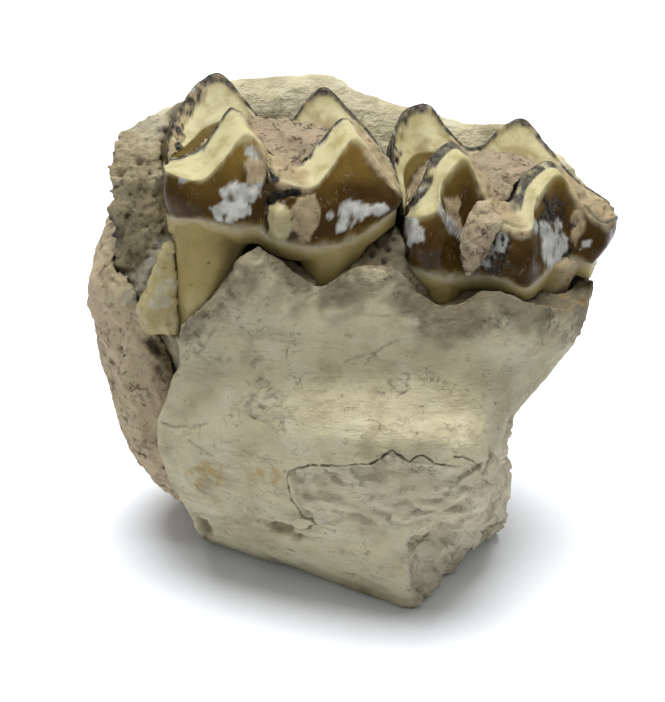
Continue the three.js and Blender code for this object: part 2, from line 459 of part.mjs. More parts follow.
const finishes = {
  bone: { color: 0xb9b292, roughness: 0.75 },
  rock: { color: 0xa8957a, roughness: 0.95 },
  enamel: { color: 0x5b421c, roughness: 0.25 },
  dentine: { color: 0xa0925e, roughness: 0.5 },
};

function piece(name, made, finish) {
  const { vertProperties, triVerts } = made.getMesh();
  const geometry = closedGeometry(Array.from(vertProperties), Array.from(triVerts));
  const mesh = new THREE.Mesh(geometry, new THREE.MeshStandardMaterial({ ...finish, metalness: 0 }));
  mesh.name = name;
  return mesh;
}

const jaw = new THREE.Group();
jaw.add(
  piece('jaw_bone', boneSolid, finishes.bone),
  piece('rock_matrix', rockSolid, finishes.rock),
  piece('front_molar', frontSolid, finishes.enamel),
  piece('rear_molar', rearSolid, finishes.enamel),
  piece('lost_tooth_root', lostRootSolid, finishes.dentine),
  piece('front_molar_fill', frontFillSolid, finishes.rock),
  piece('rear_molar_fill', rearFillSolid, finishes.rock),
  piece('cheek_side_lump', lumpSolid, finishes.rock),
);

// The frame's origin is under the middle of the whole piece, on the ground.
const bounds = new THREE.Box3().setFromObject(jaw);
const middleX = (bounds.min.x + bounds.max.x) / 2;
const middleY = (bounds.min.y + bounds.max.y) / 2;
for (const mesh of jaw.children) mesh.geometry.translate(-middleX, -middleY, -bounds.min.z);

export default jaw;
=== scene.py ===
# The fossil jaw as the photograph shows it: bone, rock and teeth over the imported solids.
#
# Places are written in millimetres on the drawing bench, which is the part's frame moved by BENCH.
# Marks that the photograph shows are placed by its pixels, through the camera.

import json
import math

import bpy
import numpy as np
from mathutils import Matrix, Vector
from mathutils.bvhtree import BVHTree

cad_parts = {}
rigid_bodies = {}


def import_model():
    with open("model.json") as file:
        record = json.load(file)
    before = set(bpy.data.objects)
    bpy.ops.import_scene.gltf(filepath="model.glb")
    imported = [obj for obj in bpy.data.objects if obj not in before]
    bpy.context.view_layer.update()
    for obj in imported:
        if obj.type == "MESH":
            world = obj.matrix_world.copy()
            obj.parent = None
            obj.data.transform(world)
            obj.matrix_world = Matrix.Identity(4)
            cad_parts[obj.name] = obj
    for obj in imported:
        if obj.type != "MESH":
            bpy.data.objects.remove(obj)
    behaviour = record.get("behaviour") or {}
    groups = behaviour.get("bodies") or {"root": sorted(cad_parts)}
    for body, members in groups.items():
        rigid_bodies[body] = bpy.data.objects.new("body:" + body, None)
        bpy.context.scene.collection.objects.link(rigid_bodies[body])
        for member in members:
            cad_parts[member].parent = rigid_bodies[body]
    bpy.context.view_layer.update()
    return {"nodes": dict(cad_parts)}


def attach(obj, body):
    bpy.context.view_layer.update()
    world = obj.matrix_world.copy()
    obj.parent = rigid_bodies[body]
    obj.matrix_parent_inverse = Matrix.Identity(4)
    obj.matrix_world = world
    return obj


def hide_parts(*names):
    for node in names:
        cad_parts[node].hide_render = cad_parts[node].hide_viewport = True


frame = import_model()

MM = 0.001
BENCH = np.array([1.402, 7.671, 0.0])

# Spacing of each piece's mesh before it is refined
BONE_MESH = 0.46
ROCK_MESH = 0.34
ROOT_MESH = 0.26
STUB_MESH = 0.16
LUMP_MESH = 0.12

# Camera

PHOTO_SIZE = (665, 702)
FOCAL_PIXELS = 1950.0
EYE = np.array([0.0, -140.73, 104.0])
TILT = math.radians(30)
LOOK = np.array([0.0, math.cos(TILT), -math.sin(TILT)])
UP = np.array([0.0, math.sin(TILT), math.cos(TILT)])


def add_camera():
    data = bpy.data.cameras.new("camera")
    data.sensor_width = 36
    data.lens = FOCAL_PIXELS * 36 / max(PHOTO_SIZE)
    data.sensor_fit = "AUTO"
    data.clip_end = 20
    camera = bpy.data.objects.new("camera", data)
    bpy.context.scene.collection.objects.link(camera)
    place = Matrix.Translation(Vector((EYE - BENCH) * MM))
    turn = Matrix((Vector((1, 0, 0)), Vector(UP), Vector(-LOOK))).transposed().to_4x4()
    camera.matrix_world = place @ turn
    bpy.context.scene.camera = camera


def photo_xy(points):
    """Pixels at which bench points show in the photograph."""
    seen = points - EYE
    depth = seen @ LOOK
    u = PHOTO_SIZE[0] / 2 + FOCAL_PIXELS * seen[:, 0] / depth
    v = PHOTO_SIZE[1] / 2 - FOCAL_PIXELS * (seen @ UP) / depth
    return np.stack([u, v], axis=1)


# Fields over points: noise, and marks drawn in pixels

def lattice(cells, seed):
    x, y, z = (cells[..., i].astype(np.int64) for i in range(3))
    mixed = (x * 374761393 + y * 668265263 + z * 1103515245 + seed * 144269504) & 0xFFFFFFFF
    mixed = ((mixed ^ (mixed >> 13)) * 1274126177) & 0xFFFFFFFF
    mixed = ((mixed ^ (mixed >> 15)) * 2246822519) & 0xFFFFFFFF
    return ((mixed ^ (mixed >> 16)) & 0xFFFFFF) / float(0x1000000)


def noise(points, size, seed):
    """Smooth noise between -1 and 1, with lumps `size` millimetres apart."""
    scaled = points / size
    cell = np.floor(scaled)
    share = scaled - cell
    share = share * share * (3 - 2 * share)
    total = np.zeros(len(points))
    for corner in np.ndindex(2, 2, 2):
        weight = np.prod(np.where(corner, share, 1 - share), axis=1)
        total += weight * lattice(cell + corner, seed)
    return 2 * total - 1


def layered(points, size, seed, layers=4, fall=0.5):
    total = np.zeros(len(points))
    for i in range(layers):
        total += fall ** i * noise(points, size / 2 ** i, seed + 31 * i)
    return total


def pits(points, size, seed, width=0.35):
    """1 in the middle of scattered pits, 0 between them."""
    scaled = points / size
    cell = np.floor(scaled)
    nearest = np.full(len(points), 9.0)
    for step in np.ndindex(3, 3, 3):
        near = cell + np.array(step) - 1
        spot = near + np.stack([lattice(near, seed + k) for k in range(3)], axis=1)
        nearest = np.minimum(nearest, np.linalg.norm(scaled - spot, axis=1))
    return smooth_step(width, 0.3 * width, nearest)


def chips(points, size, seed):
    """Flat tilted breaks side by side, from about -0.5 to 0.5."""
    scaled = points / size
    cell = np.floor(scaled)
    nearest = np.full(len(points), 9.0)
    tilt = np.zeros(len(points))
    for step in np.ndindex(3, 3, 3):
        near = cell + np.array(step) - 1
        offset = scaled - near - np.stack([lattice(near, seed + k) for k in range(3)], axis=1)
        lean = np.stack([lattice(near, seed + k) for k in (5, 6, 7)], axis=1) * 2 - 1
        away = np.linalg.norm(offset, axis=1)
        closer = away < nearest
        nearest = np.where(closer, away, nearest)
        tilt = np.where(closer, (offset * lean).sum(axis=1), tilt)
    return np.clip(tilt, -0.6, 0.6)


def creases(points, size, seed, width=0.07):
    """1 along thin wandering lines, in some places only."""
    there = smooth_step(0.0, 0.25, noise(points, 2.5 * size, seed + 9))
    return there * smooth_step(width, 0.2 * width, np.abs(layered(points, size, seed, 3)))


def smooth_step(low, high, value):
    share = np.clip((value - low) / (high - low), 0, 1)
    return share * share * (3 - 2 * share)


def line_distance(pixels, corners):
    """Distance in pixels to a drawn line."""
    nearest = np.full(len(pixels), 1e9)
    corners = np.array(corners, float)
    for a, b in zip(corners[:-1], corners[1:]):
        along = np.clip(((pixels - a) @ (b - a)) / ((b - a) @ (b - a)), 0, 1)
        nearest = np.minimum(nearest, np.linalg.norm(pixels - a - along[:, None] * (b - a), axis=1))
    return nearest


def inside(pixels, corners):
    """How many pixels inside a drawn outline, negative outside."""
    corners = np.array(corners, float)
    odd = np.zeros(len(pixels), bool)
    for a, b in zip(corners, np.roll(corners, -1, axis=0)):
        crosses = (a[1] > pixels[:, 1]) != (b[1] > pixels[:, 1])
        rise = b[1] - a[1] if abs(b[1] - a[1]) > 1e-9 else 1e-9
        odd ^= crosses & (pixels[:, 0] < (b[0] - a[0]) * (pixels[:, 1] - a[1]) / rise + a[0])
    away = line_distance(pixels, np.vstack([corners, corners[:1]]))
    return np.where(odd, away, -away)


def patch(pixels, corners, rough, soft=2.0):
    """A drawn patch, 1 inside, with its edge pushed about by `rough` pixels."""
    return smooth_step(-soft, soft, inside(pixels, corners) + rough)


# Meshes

def only(obj):
    for other in bpy.context.view_layer.objects:
        other.select_set(False)
    obj.select_set(True)
    bpy.context.view_layer.objects.active = obj


def edit_all(obj):
    only(obj)
    bpy.ops.object.mode_set(mode="EDIT")
    bpy.ops.mesh.select_all(action="SELECT")


def copy_of(node, name):
    """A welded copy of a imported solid, to be worked on."""
    source = frame["nodes"][node]
    obj = bpy.data.objects.new(name, source.data.copy())
    obj.data.name = name
    bpy.context.scene.collection.objects.link(obj)
    obj.data.materials.clear()
    edit_all(obj)
    bpy.ops.mesh.remove_doubles(threshold=0.002 * MM)
    bpy.ops.mesh.normals_make_consistent(inside=False)
    bpy.ops.object.mode_set(mode="OBJECT")
    return obj


def modified(obj, kind, **settings):
    only(obj)
    modifier = obj.modifiers.new(kind.lower(), kind)
    for key, value in settings.items():
        setattr(modifier, key, value)
    bpy.ops.object.modifier_apply(modifier=modifier.name)


def resurfaced(obj, voxel, smoothing):
    """An even fine mesh over the solid, without loose crumbs."""
    modified(obj, "REMESH", mode="VOXEL", voxel_size=voxel * MM, adaptivity=0)
    edit_all(obj)
    bpy.ops.mesh.separate(type="LOOSE")
    bpy.ops.object.mode_set(mode="OBJECT")
    loose = [other for other in bpy.context.selected_objects if other != obj]
    biggest = max([obj, *loose], key=lambda part: len(part.data.vertices))
    if biggest != obj:
        obj.data = biggest.data
    for other in loose:
        bpy.data.objects.remove(other)
    modified(obj, "SMOOTH", factor=0.5, iterations=smoothing)


def closeness(points, others, near, far):
    """1 within `near` millimetres of the other pieces' surfaces, 0 beyond `far`."""
    trees = []
    for other in others:
        mesh = other.data
        corners = [tuple(vertex.co) for vertex in mesh.vertices]
        trees.append(BVHTree.FromPolygons(corners, [tuple(face.vertices) for face in mesh.polygons]))
    found = np.full(len(points), 9.0)
    spots = (points - BENCH) * MM
    for i in np.nonzero(points[:, 2] > 20)[0]:
        for tree in trees:
            hit = tree.find_nearest(Vector(spots[i]), 2 * MM)
            if hit[3] is not None:
                found[i] = min(found[i], hit[3] / MM)
    return smooth_step(far, near, found)


def places(obj):
    """Bench positions and normals of every vertex."""
    mesh = obj.data
    flat = np.empty(3 * len(mesh.vertices))
    mesh.vertices.foreach_get("co", flat)
    normals = np.empty(3 * len(mesh.vertices))
    mesh.vertex_normals.foreach_get("vector", normals)
    return flat.reshape(-1, 3) / MM + BENCH, normals.reshape(-1, 3)


def put(obj, points):
    obj.data.vertices.foreach_set("co", ((points - BENCH) * MM).ravel())
    obj.data.update()


def push(obj, amount):
    """Moves the surface outwards by an amount for each vertex, and not below the floor."""
    points, normals = places(obj)
    moved = points + normals * amount[:, None]
    moved[:, 2] = np.maximum(moved[:, 2], 0)
    put(obj, moved)


def keep(obj, name, values):
    attribute = obj.data.attributes.new(name, "FLOAT", "POINT")
    attribute.data.foreach_set("value", np.clip(values, 0, 1).astype(np.float32))


def select_faces(obj, wanted):
    """Goes into edit mode with the faces selected that have a wanted corner."""
    only(obj)
    obj.data.vertices.foreach_set("select", np.zeros(len(obj.data.vertices), bool))
    obj.data.edges.foreach_set("select", np.zeros(len(obj.data.edges), bool))
    corners = np.empty(len(obj.data.loops), np.int32)
    obj.data.loops.foreach_get("vertex_index", corners)
    starts = np.empty(len(obj.data.polygons), np.int32)
    obj.data.polygons.foreach_get("loop_start", starts)
    obj.data.polygons.foreach_set("select", np.logical_or.reduceat(wanted[corners], starts))
    bpy.ops.object.mode_set(mode="EDIT")
    bpy.ops.mesh.select_mode(type="FACE")


def refine(obj, wanted):
    """Divides the faces at wanted corners, for marks finer than the mesh."""
    select_faces(obj, wanted)
    bpy.ops.mesh.subdivide(number_cuts=1)
    bpy.ops.object.mode_set(mode="OBJECT")


def facing(normals):
    """1 on surfaces that the photograph sees, 0 on those turned away."""
    return smooth_step(-0.1, 0.25, -(normals @ LOOK))


def finished(obj, node, material):
    only(obj)
    bpy.ops.object.shade_smooth()
    obj.data.materials.clear()
    obj.data.materials.append(material)
    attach(obj, "root")
    if node:
        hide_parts(node)


# Shader helpers

class Nodes:
    """A material's or a group's nodes, with short ways to add and join them."""

    def __init__(self, tree):
        self.tree = tree

    def add(self, kind, **settings):
        node = self.tree.nodes.new(kind)
        for key, value in settings.items():
            setattr(node, key, value)
        return node

    def join(self, value, socket):
        if isinstance(value, bpy.types.NodeSocket):
            self.tree.links.new(value, socket)
        else:
            socket.default_value = value

    def math(self, operation, a, b=0.0):
        node = self.add("ShaderNodeMath", operation=operation)
        self.join(a, node.inputs[0])
        self.join(b, node.inputs[1])
        return node.outputs[0]

    def times(self, a, b):
        return self.math("MULTIPLY", a, b)

    def blend(self, share, a, b):
        node = self.add("ShaderNodeMix", data_type="RGBA")
        self.join(share, node.inputs["Factor"])
        self.join(a, node.inputs["A"])
        self.join(b, node.inputs["B"])
        return node.outputs["Result"]

    def spread(self, value, low, high, to_low=0.0, to_high=1.0):
        node = self.add("ShaderNodeMapRange", interpolation_type="SMOOTHSTEP")
        for name, given in (("Value", value), ("From Min", low), ("From Max", high),
                            ("To Min", to_low), ("To Max", to_high)):
            self.join(given, node.inputs[name])
        return node.outputs["Result"]

    def mask(self, name):
        return self.add("ShaderNodeAttribute", attribute_name=name).outputs["Fac"]

    def marked(self, colour, name, mark, share=1.0):
        """A colour with another laid over it where a kept mask says."""
        strength = self.mask(name) if share == 1.0 else self.times(self.mask(name), share)
        return self.blend(strength, colour, mark)

    def noise(self, where, scale, detail=4.0, rough=0.55):
        node = self.add("ShaderNodeTexNoise")
        self.join(where, node.inputs["Vector"])
        self.join(scale, node.inputs["Scale"])
        node.inputs["Detail"].default_value = detail
        node.inputs["Roughness"].default_value = rough
        return node.outputs["Fac"]

    def group(self, tree, **given):
        node = self.add("ShaderNodeGroup", node_tree=tree)
        for name, value in given.items():
            self.join(value, node.inputs[name])
        return node


SHADE = 0.66


def rgb(red, green, blue, level=SHADE):
    """A colour as it looks in full light, 0 to 255, as a surface colour."""
    def light(value):
        share = value / 255
        return (share / 12.92 if share <= 0.04045 else ((share + 0.055) / 1.055) ** 2.4) * level
    return (light(red), light(green), light(blue), 1.0)


def new_group(name, inputs, outputs):
    tree = bpy.data.node_groups.new(name, "ShaderNodeTree")
    for label, kind, value in inputs:
        tree.interface.new_socket(label, in_out="INPUT", socket_type=kind).default_value = value
    for label, kind in outputs:
        tree.interface.new_socket(label, in_out="OUTPUT", socket_type=kind)
    n = Nodes(tree)
    return n, n.add("NodeGroupInput"), n.add("NodeGroupOutput"), tree


FLOAT, COLOUR = "NodeSocketFloat", "NodeSocketColor"


def grain_group():
    """Fine grain: a mottled shade of a colour, and a height for bump."""
    n, given, out, tree = new_group("grain", [
        ("Colour", COLOUR, (0.5, 0.5, 0.5, 1)), ("Dark", COLOUR, (0.1, 0.1, 0.1, 1)),
        ("Light", COLOUR, (0.9, 0.9, 0.9, 1)), ("Scale", FLOAT, 900.0), ("Mottle", FLOAT, 0.3),
        ("Specks", FLOAT, 0.3),
    ], [("Colour", COLOUR), ("Height", FLOAT)])
    where = n.add("ShaderNodeTexCoord").outputs["Object"]
    fine = n.noise(where, given.outputs["Scale"], 6.0, 0.72)
    wide = n.noise(where, n.times(given.outputs["Scale"], 0.22), 5.0, 0.5)
    shade = given.outputs["Colour"]
    for lumps, share, low, high, tone in (
            (wide, "Mottle", 0.5, 0.75, "Dark"), (wide, "Mottle", 0.5, 0.25, "Light"),
            (fine, "Specks", 0.58, 0.72, "Dark"), (fine, "Specks", 0.42, 0.28, "Light")):
        amount = n.times(n.spread(lumps, low, high), given.outputs[share])
        shade = n.blend(amount, shade, given.outputs[tone])
    n.join(shade, out.inputs["Colour"])
    n.join(n.math("ADD", n.times(fine, 0.6), n.times(wide, 0.8)), out.inputs["Height"])
    return tree


def fibre_group():
    """Fine streaks along the bone: a mask of dark ones, one of light ones, and a height."""
    n, given, out, tree = new_group("fibres", [("Scale", FLOAT, 300.0)],
                                    [("Mask", FLOAT), ("Light", FLOAT), ("Height", FLOAT)])
    where = n.add("ShaderNodeTexCoord").outputs["Object"]
    turned = n.add("ShaderNodeMapping")
    n.join(where, turned.inputs["Vector"])
    turned.inputs["Rotation"].default_value = (0, math.radians(12), 0)
    turned.inputs["Scale"].default_value = (0.18, 1, 1.8)
    streaks = n.noise(turned.outputs["Vector"], given.outputs["Scale"], 5.0, 0.7)
    n.join(n.spread(streaks, 0.55, 0.66), out.inputs["Mask"])
    n.join(n.spread(streaks, 0.45, 0.34), out.inputs["Light"])
    n.join(streaks, out.inputs["Height"])
    return tree


def crease_group():
    """Thin wandering creases: a mask."""
    n, given, out, tree = new_group("creases", [("Scale", FLOAT, 300.0), ("Width", FLOAT, 0.02)],
                                    [("Mask", FLOAT)])
    where = n.add("ShaderNodeTexCoord").outputs["Object"]
    lines = n.noise(where, given.outputs["Scale"], 4.0, 0.6)
    there = n.noise(where, n.times(given.outputs["Scale"], 0.6), 2.0, 0.5)
    off = n.math("ABSOLUTE", n.math("SUBTRACT", lines, 0.5))
    mask = n.spread(off, given.outputs["Width"], 0.0)
    n.join(n.times(mask, n.spread(there, 0.56, 0.66)), out.inputs["Mask"])
    return tree


def new_material(name):
    material = bpy.data.materials.new(name)
    material.use_nodes = True
    n = Nodes(material.node_tree)
    shader = material.node_tree.nodes["Principled BSDF"]
    return material, n, shader


def bump(n, height, strength, distance):
    node = n.add("ShaderNodeBump")
    n.join(height, node.inputs["Height"])
    node.inputs["Strength"].default_value = strength
    node.inputs["Distance"].default_value = distance * MM
    return node.outputs["Normal"]


GRAIN = grain_group()
FIBRES = fibre_group()
CREASES = crease_group()

BONE_PALE = rgb(222, 213, 175)
BONE_TAN = rgb(172, 158, 124)
BONE_GREY = rgb(112, 100, 78)
ROCK_TAN = rgb(218, 200, 164)
ROCK_PINK = rgb(232, 204, 176)
ROCK_DARK = rgb(136, 112, 88)
ROCK_LIGHT = rgb(228, 212, 180)
NEAR_BLACK = rgb(58, 48, 36)


def bone_material():
    material, n, shader = new_material("fossil bone")
    where = n.add("ShaderNodeTexCoord").outputs["Object"]
    grain = n.group(GRAIN, Colour=BONE_PALE, Dark=rgb(168, 156, 122), Light=rgb(230, 225, 198),
                    Scale=1500.0, Mottle=0.7, Specks=0.9)
    fibres = n.group(FIBRES, Scale=560.0)
    fine = n.group(CREASES, Scale=900.0, Width=0.016)
    wide = n.group(CREASES, Scale=330.0, Width=0.010)
    colour = n.blend(n.times(fibres.outputs["Mask"], 0.4), grain.outputs["Colour"], BONE_TAN)
    colour = n.blend(n.times(fibres.outputs["Light"], 0.4), colour, rgb(228, 222, 196))
    stain = n.spread(n.noise(where, 150.0), 0.5, 0.7)
    colour = n.blend(n.times(stain, 0.4), colour, BONE_TAN)
    # Grey: the bone's own grime and stains, and painted shade on its right side and its left sheet
    colour = n.marked(colour, "grime_and_shade", BONE_GREY, 0.85)
    colour = n.marked(colour, "rust", rgb(188, 152, 78), 0.6)
    colour = n.marked(colour, "brown", rgb(112, 92, 56), 0.7)
    broken = n.group(GRAIN, Colour=rgb(232, 221, 192), Dark=rgb(184, 168, 138), Light=rgb(242, 235, 212),
                     Scale=1300.0, Mottle=0.7, Specks=0.7)
    colour = n.marked(colour, "broken", broken.outputs["Colour"])
    speckled = n.group(GRAIN, Colour=rgb(168, 155, 120), Dark=rgb(84, 76, 60), Light=rgb(208, 198, 166),
                       Scale=1500.0, Mottle=0.8, Specks=1.0)
    colour = n.marked(colour, "rough", speckled.outputs["Colour"])
    colour = n.marked(colour, "blue", rgb(74, 78, 78))
    colour = n.marked(colour, "pale", rgb(222, 220, 200), 0.8)
    lines = n.math("MAXIMUM", n.times(fine.outputs["Mask"], 0.3),
                   n.times(wide.outputs["Mask"], 0.15))
    colour = n.blend(lines, colour, rgb(112, 98, 74))
    colour = n.marked(colour, "crack", NEAR_BLACK, 0.92)
    n.join(colour, shader.inputs["Base Color"])
    shader.inputs["Roughness"].default_value = 0.75
    shader.inputs["Specular IOR Level"].default_value = 0.3
    height = n.math("ADD", grain.outputs["Height"], n.times(fibres.outputs["Height"], 0.6))
    height = n.math("SUBTRACT", height, n.times(lines, 0.8))
    n.join(bump(n, height, 1.0, 0.5), shader.inputs["Normal"])
    return material


def rock_material():
    material, n, shader = new_material("siltstone")
    where = n.add("ShaderNodeTexCoord").outputs["Object"]
    grain = n.group(GRAIN, Colour=ROCK_TAN, Dark=ROCK_DARK, Light=ROCK_LIGHT, Scale=1500.0,
                    Mottle=0.6, Specks=0.9)
    patches = n.spread(n.noise(where, 190.0), 0.45, 0.65)
    colour = n.blend(n.times(patches, 0.6), grain.outputs["Colour"], ROCK_PINK)
    fine = n.group(CREASES, Scale=1100.0, Width=0.03)
    colour = n.blend(n.times(fine.outputs["Mask"], 0.65), colour, rgb(98, 78, 58))
    colour = n.marked(colour, "dark", rgb(76, 64, 50), 0.85)
    colour = n.marked(colour, "pale", rgb(214, 208, 180), 0.8)
    n.join(colour, shader.inputs["Base Color"])
    shader.inputs["Roughness"].default_value = 0.92
    shader.inputs["Specular IOR Level"].default_value = 0.2
    height = n.math("SUBTRACT", grain.outputs["Height"], n.times(fine.outputs["Mask"], 0.6))
    n.join(bump(n, height, 1.0, 0.7), shader.inputs["Normal"])
    return material


def tooth_material():
    material, n, shader = new_material("enamel and dentine")
    where = n.add("ShaderNodeTexCoord").outputs["Object"]
    swirl = n.noise(where, 420.0, 5.0, 0.6)
    enamel = n.blend(n.spread(swirl, 0.35, 0.7), rgb(62, 43, 16), rgb(84, 61, 24))
    colour = n.marked(enamel, "amber", rgb(124, 99, 42))
    upright = n.add("ShaderNodeMapping")
    n.join(where, upright.inputs["Vector"])
    upright.inputs["Rotation"].default_value = (0, math.radians(14), 0)
    upright.inputs["Scale"].default_value = (1, 1, 0.12)
    off_middle = n.math("SUBTRACT", n.noise(upright.outputs["Vector"], 1500.0, 2.0), 0.5)
    scratch = n.spread(n.math("ABSOLUTE", off_middle), 0.012, 0.0)
    scratch = n.times(scratch, n.spread(n.noise(where, 500.0, 2.0), 0.52, 0.62, 0.0, 0.5))
    colour = n.blend(scratch, colour, rgb(168, 156, 124))
    cream = n.blend(n.spread(n.noise(where, 600.0, 6.0, 0.6), 0.4, 0.7),
                    rgb(206, 197, 152), rgb(176, 163, 112))
    colour = n.marked(colour, "dentine", cream)
    colour = n.marked(colour, "olive", rgb(132, 114, 62))
    root = n.group(GRAIN, Colour=rgb(172, 154, 98), Dark=rgb(128, 110, 64), Light=rgb(204, 190, 138),
                   Scale=800.0, Mottle=0.8, Specks=0.45)
    colour = n.marked(colour, "root", root.outputs["Colour"])
    crust = n.group(GRAIN, Colour=rgb(178, 160, 126), Dark=rgb(118, 99, 74), Light=rgb(204, 189, 156),
                    Scale=1500.0, Mottle=0.6, Specks=0.9)
    fine = n.group(CREASES, Scale=1100.0, Width=0.03)
    rock = n.blend(n.times(fine.outputs["Mask"], 0.65), crust.outputs["Colour"], rgb(98, 78, 58))
    colour = n.marked(colour, "crust", rock)
    deposit = n.blend(n.spread(n.noise(where, 1100.0, 5.0, 0.6), 0.35, 0.65),
                      rgb(176, 176, 168), rgb(212, 211, 202))
    colour = n.marked(colour, "deposit", deposit)
    black = n.blend(n.spread(n.noise(where, 2200.0, 5.0, 0.7), 0.42, 0.6),
                    rgb(40, 36, 32), rgb(100, 94, 84))
    colour = n.marked(colour, "dark", black)
    n.join(colour, shader.inputs["Base Color"])
    dull = n.math("MAXIMUM", n.times(n.mask("dentine"), 0.4), n.mask("crust"))
    dull = n.math("MAXIMUM", dull, n.times(n.mask("deposit"), 0.8))
    dull = n.math("MAXIMUM", dull, n.times(n.mask("root"), 0.5))
    dull = n.math("MAXIMUM", dull, n.times(n.mask("dark"), 0.6))
    n.join(n.spread(dull, 0.0, 1.0, 0.22, 0.92), shader.inputs["Roughness"])
    shader.inputs["Specular IOR Level"].default_value = 0.13
    ripple = n.noise(where, 900.0, 6.0, 0.65)
    height = n.math("ADD", n.times(ripple, 0.4),
                    n.times(n.mask("crust"), crust.outputs["Height"]))
    n.join(bump(n, height, 0.6, 0.2), shader.inputs["Normal"])
    return material


# Bone

CRACK_ALONG = [(283, 471), (293, 470), (312, 466), (331, 467), (352, 466), (370, 464), (380, 457),
    (391, 450), (400, 455), (410, 461), (420, 456), (428, 457), (436, 462), (446, 466), (462, 467)]
CRACK_DOWN = [(289, 472), (287, 482), (292, 494), (297, 507), (303, 515), (312, 521), (318, 527),
    (306, 530), (296, 528)]
CRACK_SHORT = [(455, 455), (465, 458), (480, 466)]
CREASE = [(196, 514), (225, 518), (262, 520), (282, 524), (302, 531), (322, 529)]
SCRATCHES = [
    [(163, 424), (190, 428), (206, 425)],
    [(190, 440), (206, 452), (212, 456)],
    [(198, 348), (202, 356), (208, 360)],
    [(346, 361), (372, 352), (398, 340)],
    [(402, 374), (410, 376), (404, 392), (398, 398)],
]
LEDGE = [(290, 472), (331, 468), (370, 466), (391, 453), (410, 463), (446, 467), (482, 463), (478, 486),
    (468, 510), (438, 522), (400, 528), (350, 520), (318, 526), (300, 508)]
BROKEN_FACE = [(482, 460), (506, 446), (524, 486), (520, 545), (470, 552), (450, 576), (424, 612),
    (414, 600), (405, 570), (404, 540), (438, 524), (469, 511)]
HOLLOW = [(408, 540), (424, 532), (446, 528), (452, 540), (440, 560), (428, 590), (418, 596), (410, 572)]
MARGIN = [(172, 312), (193, 307), (226, 280), (240, 260), (258, 243), (284, 262), (310, 286), (330, 286),
    (352, 266), (378, 264), (400, 272), (428, 302), (455, 308), (480, 291), (500, 290), (522, 299),
    (545, 304), (560, 311), (585, 295), (599, 270)]
ROUGH_END = [(92, 108), (168, 118), (174, 160), (174, 240), (160, 262), (130, 268), (84, 250), (86, 180)]
BETWEEN_TEETH = [(362, 212), (410, 212), (410, 262), (398, 270), (372, 262), (358, 240)]
BLUE_SPOT = [(102, 212), (112, 218), (120, 236), (112, 248), (96, 244), (94, 226)]
PIT_MARKS = [
    [(266, 525), (280, 523), (293, 528), (290, 535), (276, 533)],
    [(292, 534), (302, 536), (300, 541), (292, 539)],
    [(197, 519), (208, 523), (212, 533), (206, 538), (199, 530)],
]
FLAKES = [
    [(240, 402), (250, 392), (262, 396), (272, 388), (286, 396), (282, 408), (298, 410), (286, 422),
        (262, 422), (248, 416)],
    [(246, 380), (262, 378), (270, 386), (256, 390)],
    [(388, 380), (400, 376), (410, 388), (400, 396)],
    [(186, 320), (192, 316), (198, 322), (208, 315), (214, 330), (206, 342), (198, 354), (186, 344)],
]
RUSTY = [
    [(186, 470), (206, 462), (224, 470), (216, 486), (194, 484)],
    [(250, 472), (272, 468), (284, 476), (270, 484), (254, 482)],
    [(566, 300), (578, 296), (584, 306), (574, 314)],
]
STAINS = [
    [(262, 76), (282, 74), (290, 84), (272, 88)],
    [(352, 88), (372, 92), (376, 106), (358, 100)],
]
# Painted shade: the bone's right side below the rear tooth and its left sheet lie in softer light, so these
# patches are greyed
SHADED = [
    [(548, 306), (606, 262), (600, 310), (575, 362), (520, 420), (500, 446), (470, 448), (486, 400),
        (530, 340)],
    [(176, 348), (212, 340), (240, 372), (224, 408), (170, 424), (150, 400)],
]
PORES = [(375, 228), (381, 236), (372, 256), (383, 262), (379, 247), (388, 250), (369, 240), (393, 238)]


def broken_pixels(points, seed):
    """Where points show in the photograph, pushed about a little so that drawn marks get ragged edges."""
    shake = [1.8 * noise(points, 0.9, seed + k) + 1.1 * noise(points, 0.35, seed + 4 + k) for k in (0, 1)]
    return photo_xy(points) + np.stack(shake, axis=1)


def nearest_of(pixels, marks):
    return np.minimum.reduce([line_distance(pixels, mark) for mark in marks])


def any_patch(pixels, marks, rough, soft=2.0):
    return np.maximum.reduce([patch(pixels, mark, rough, soft) for mark in marks])


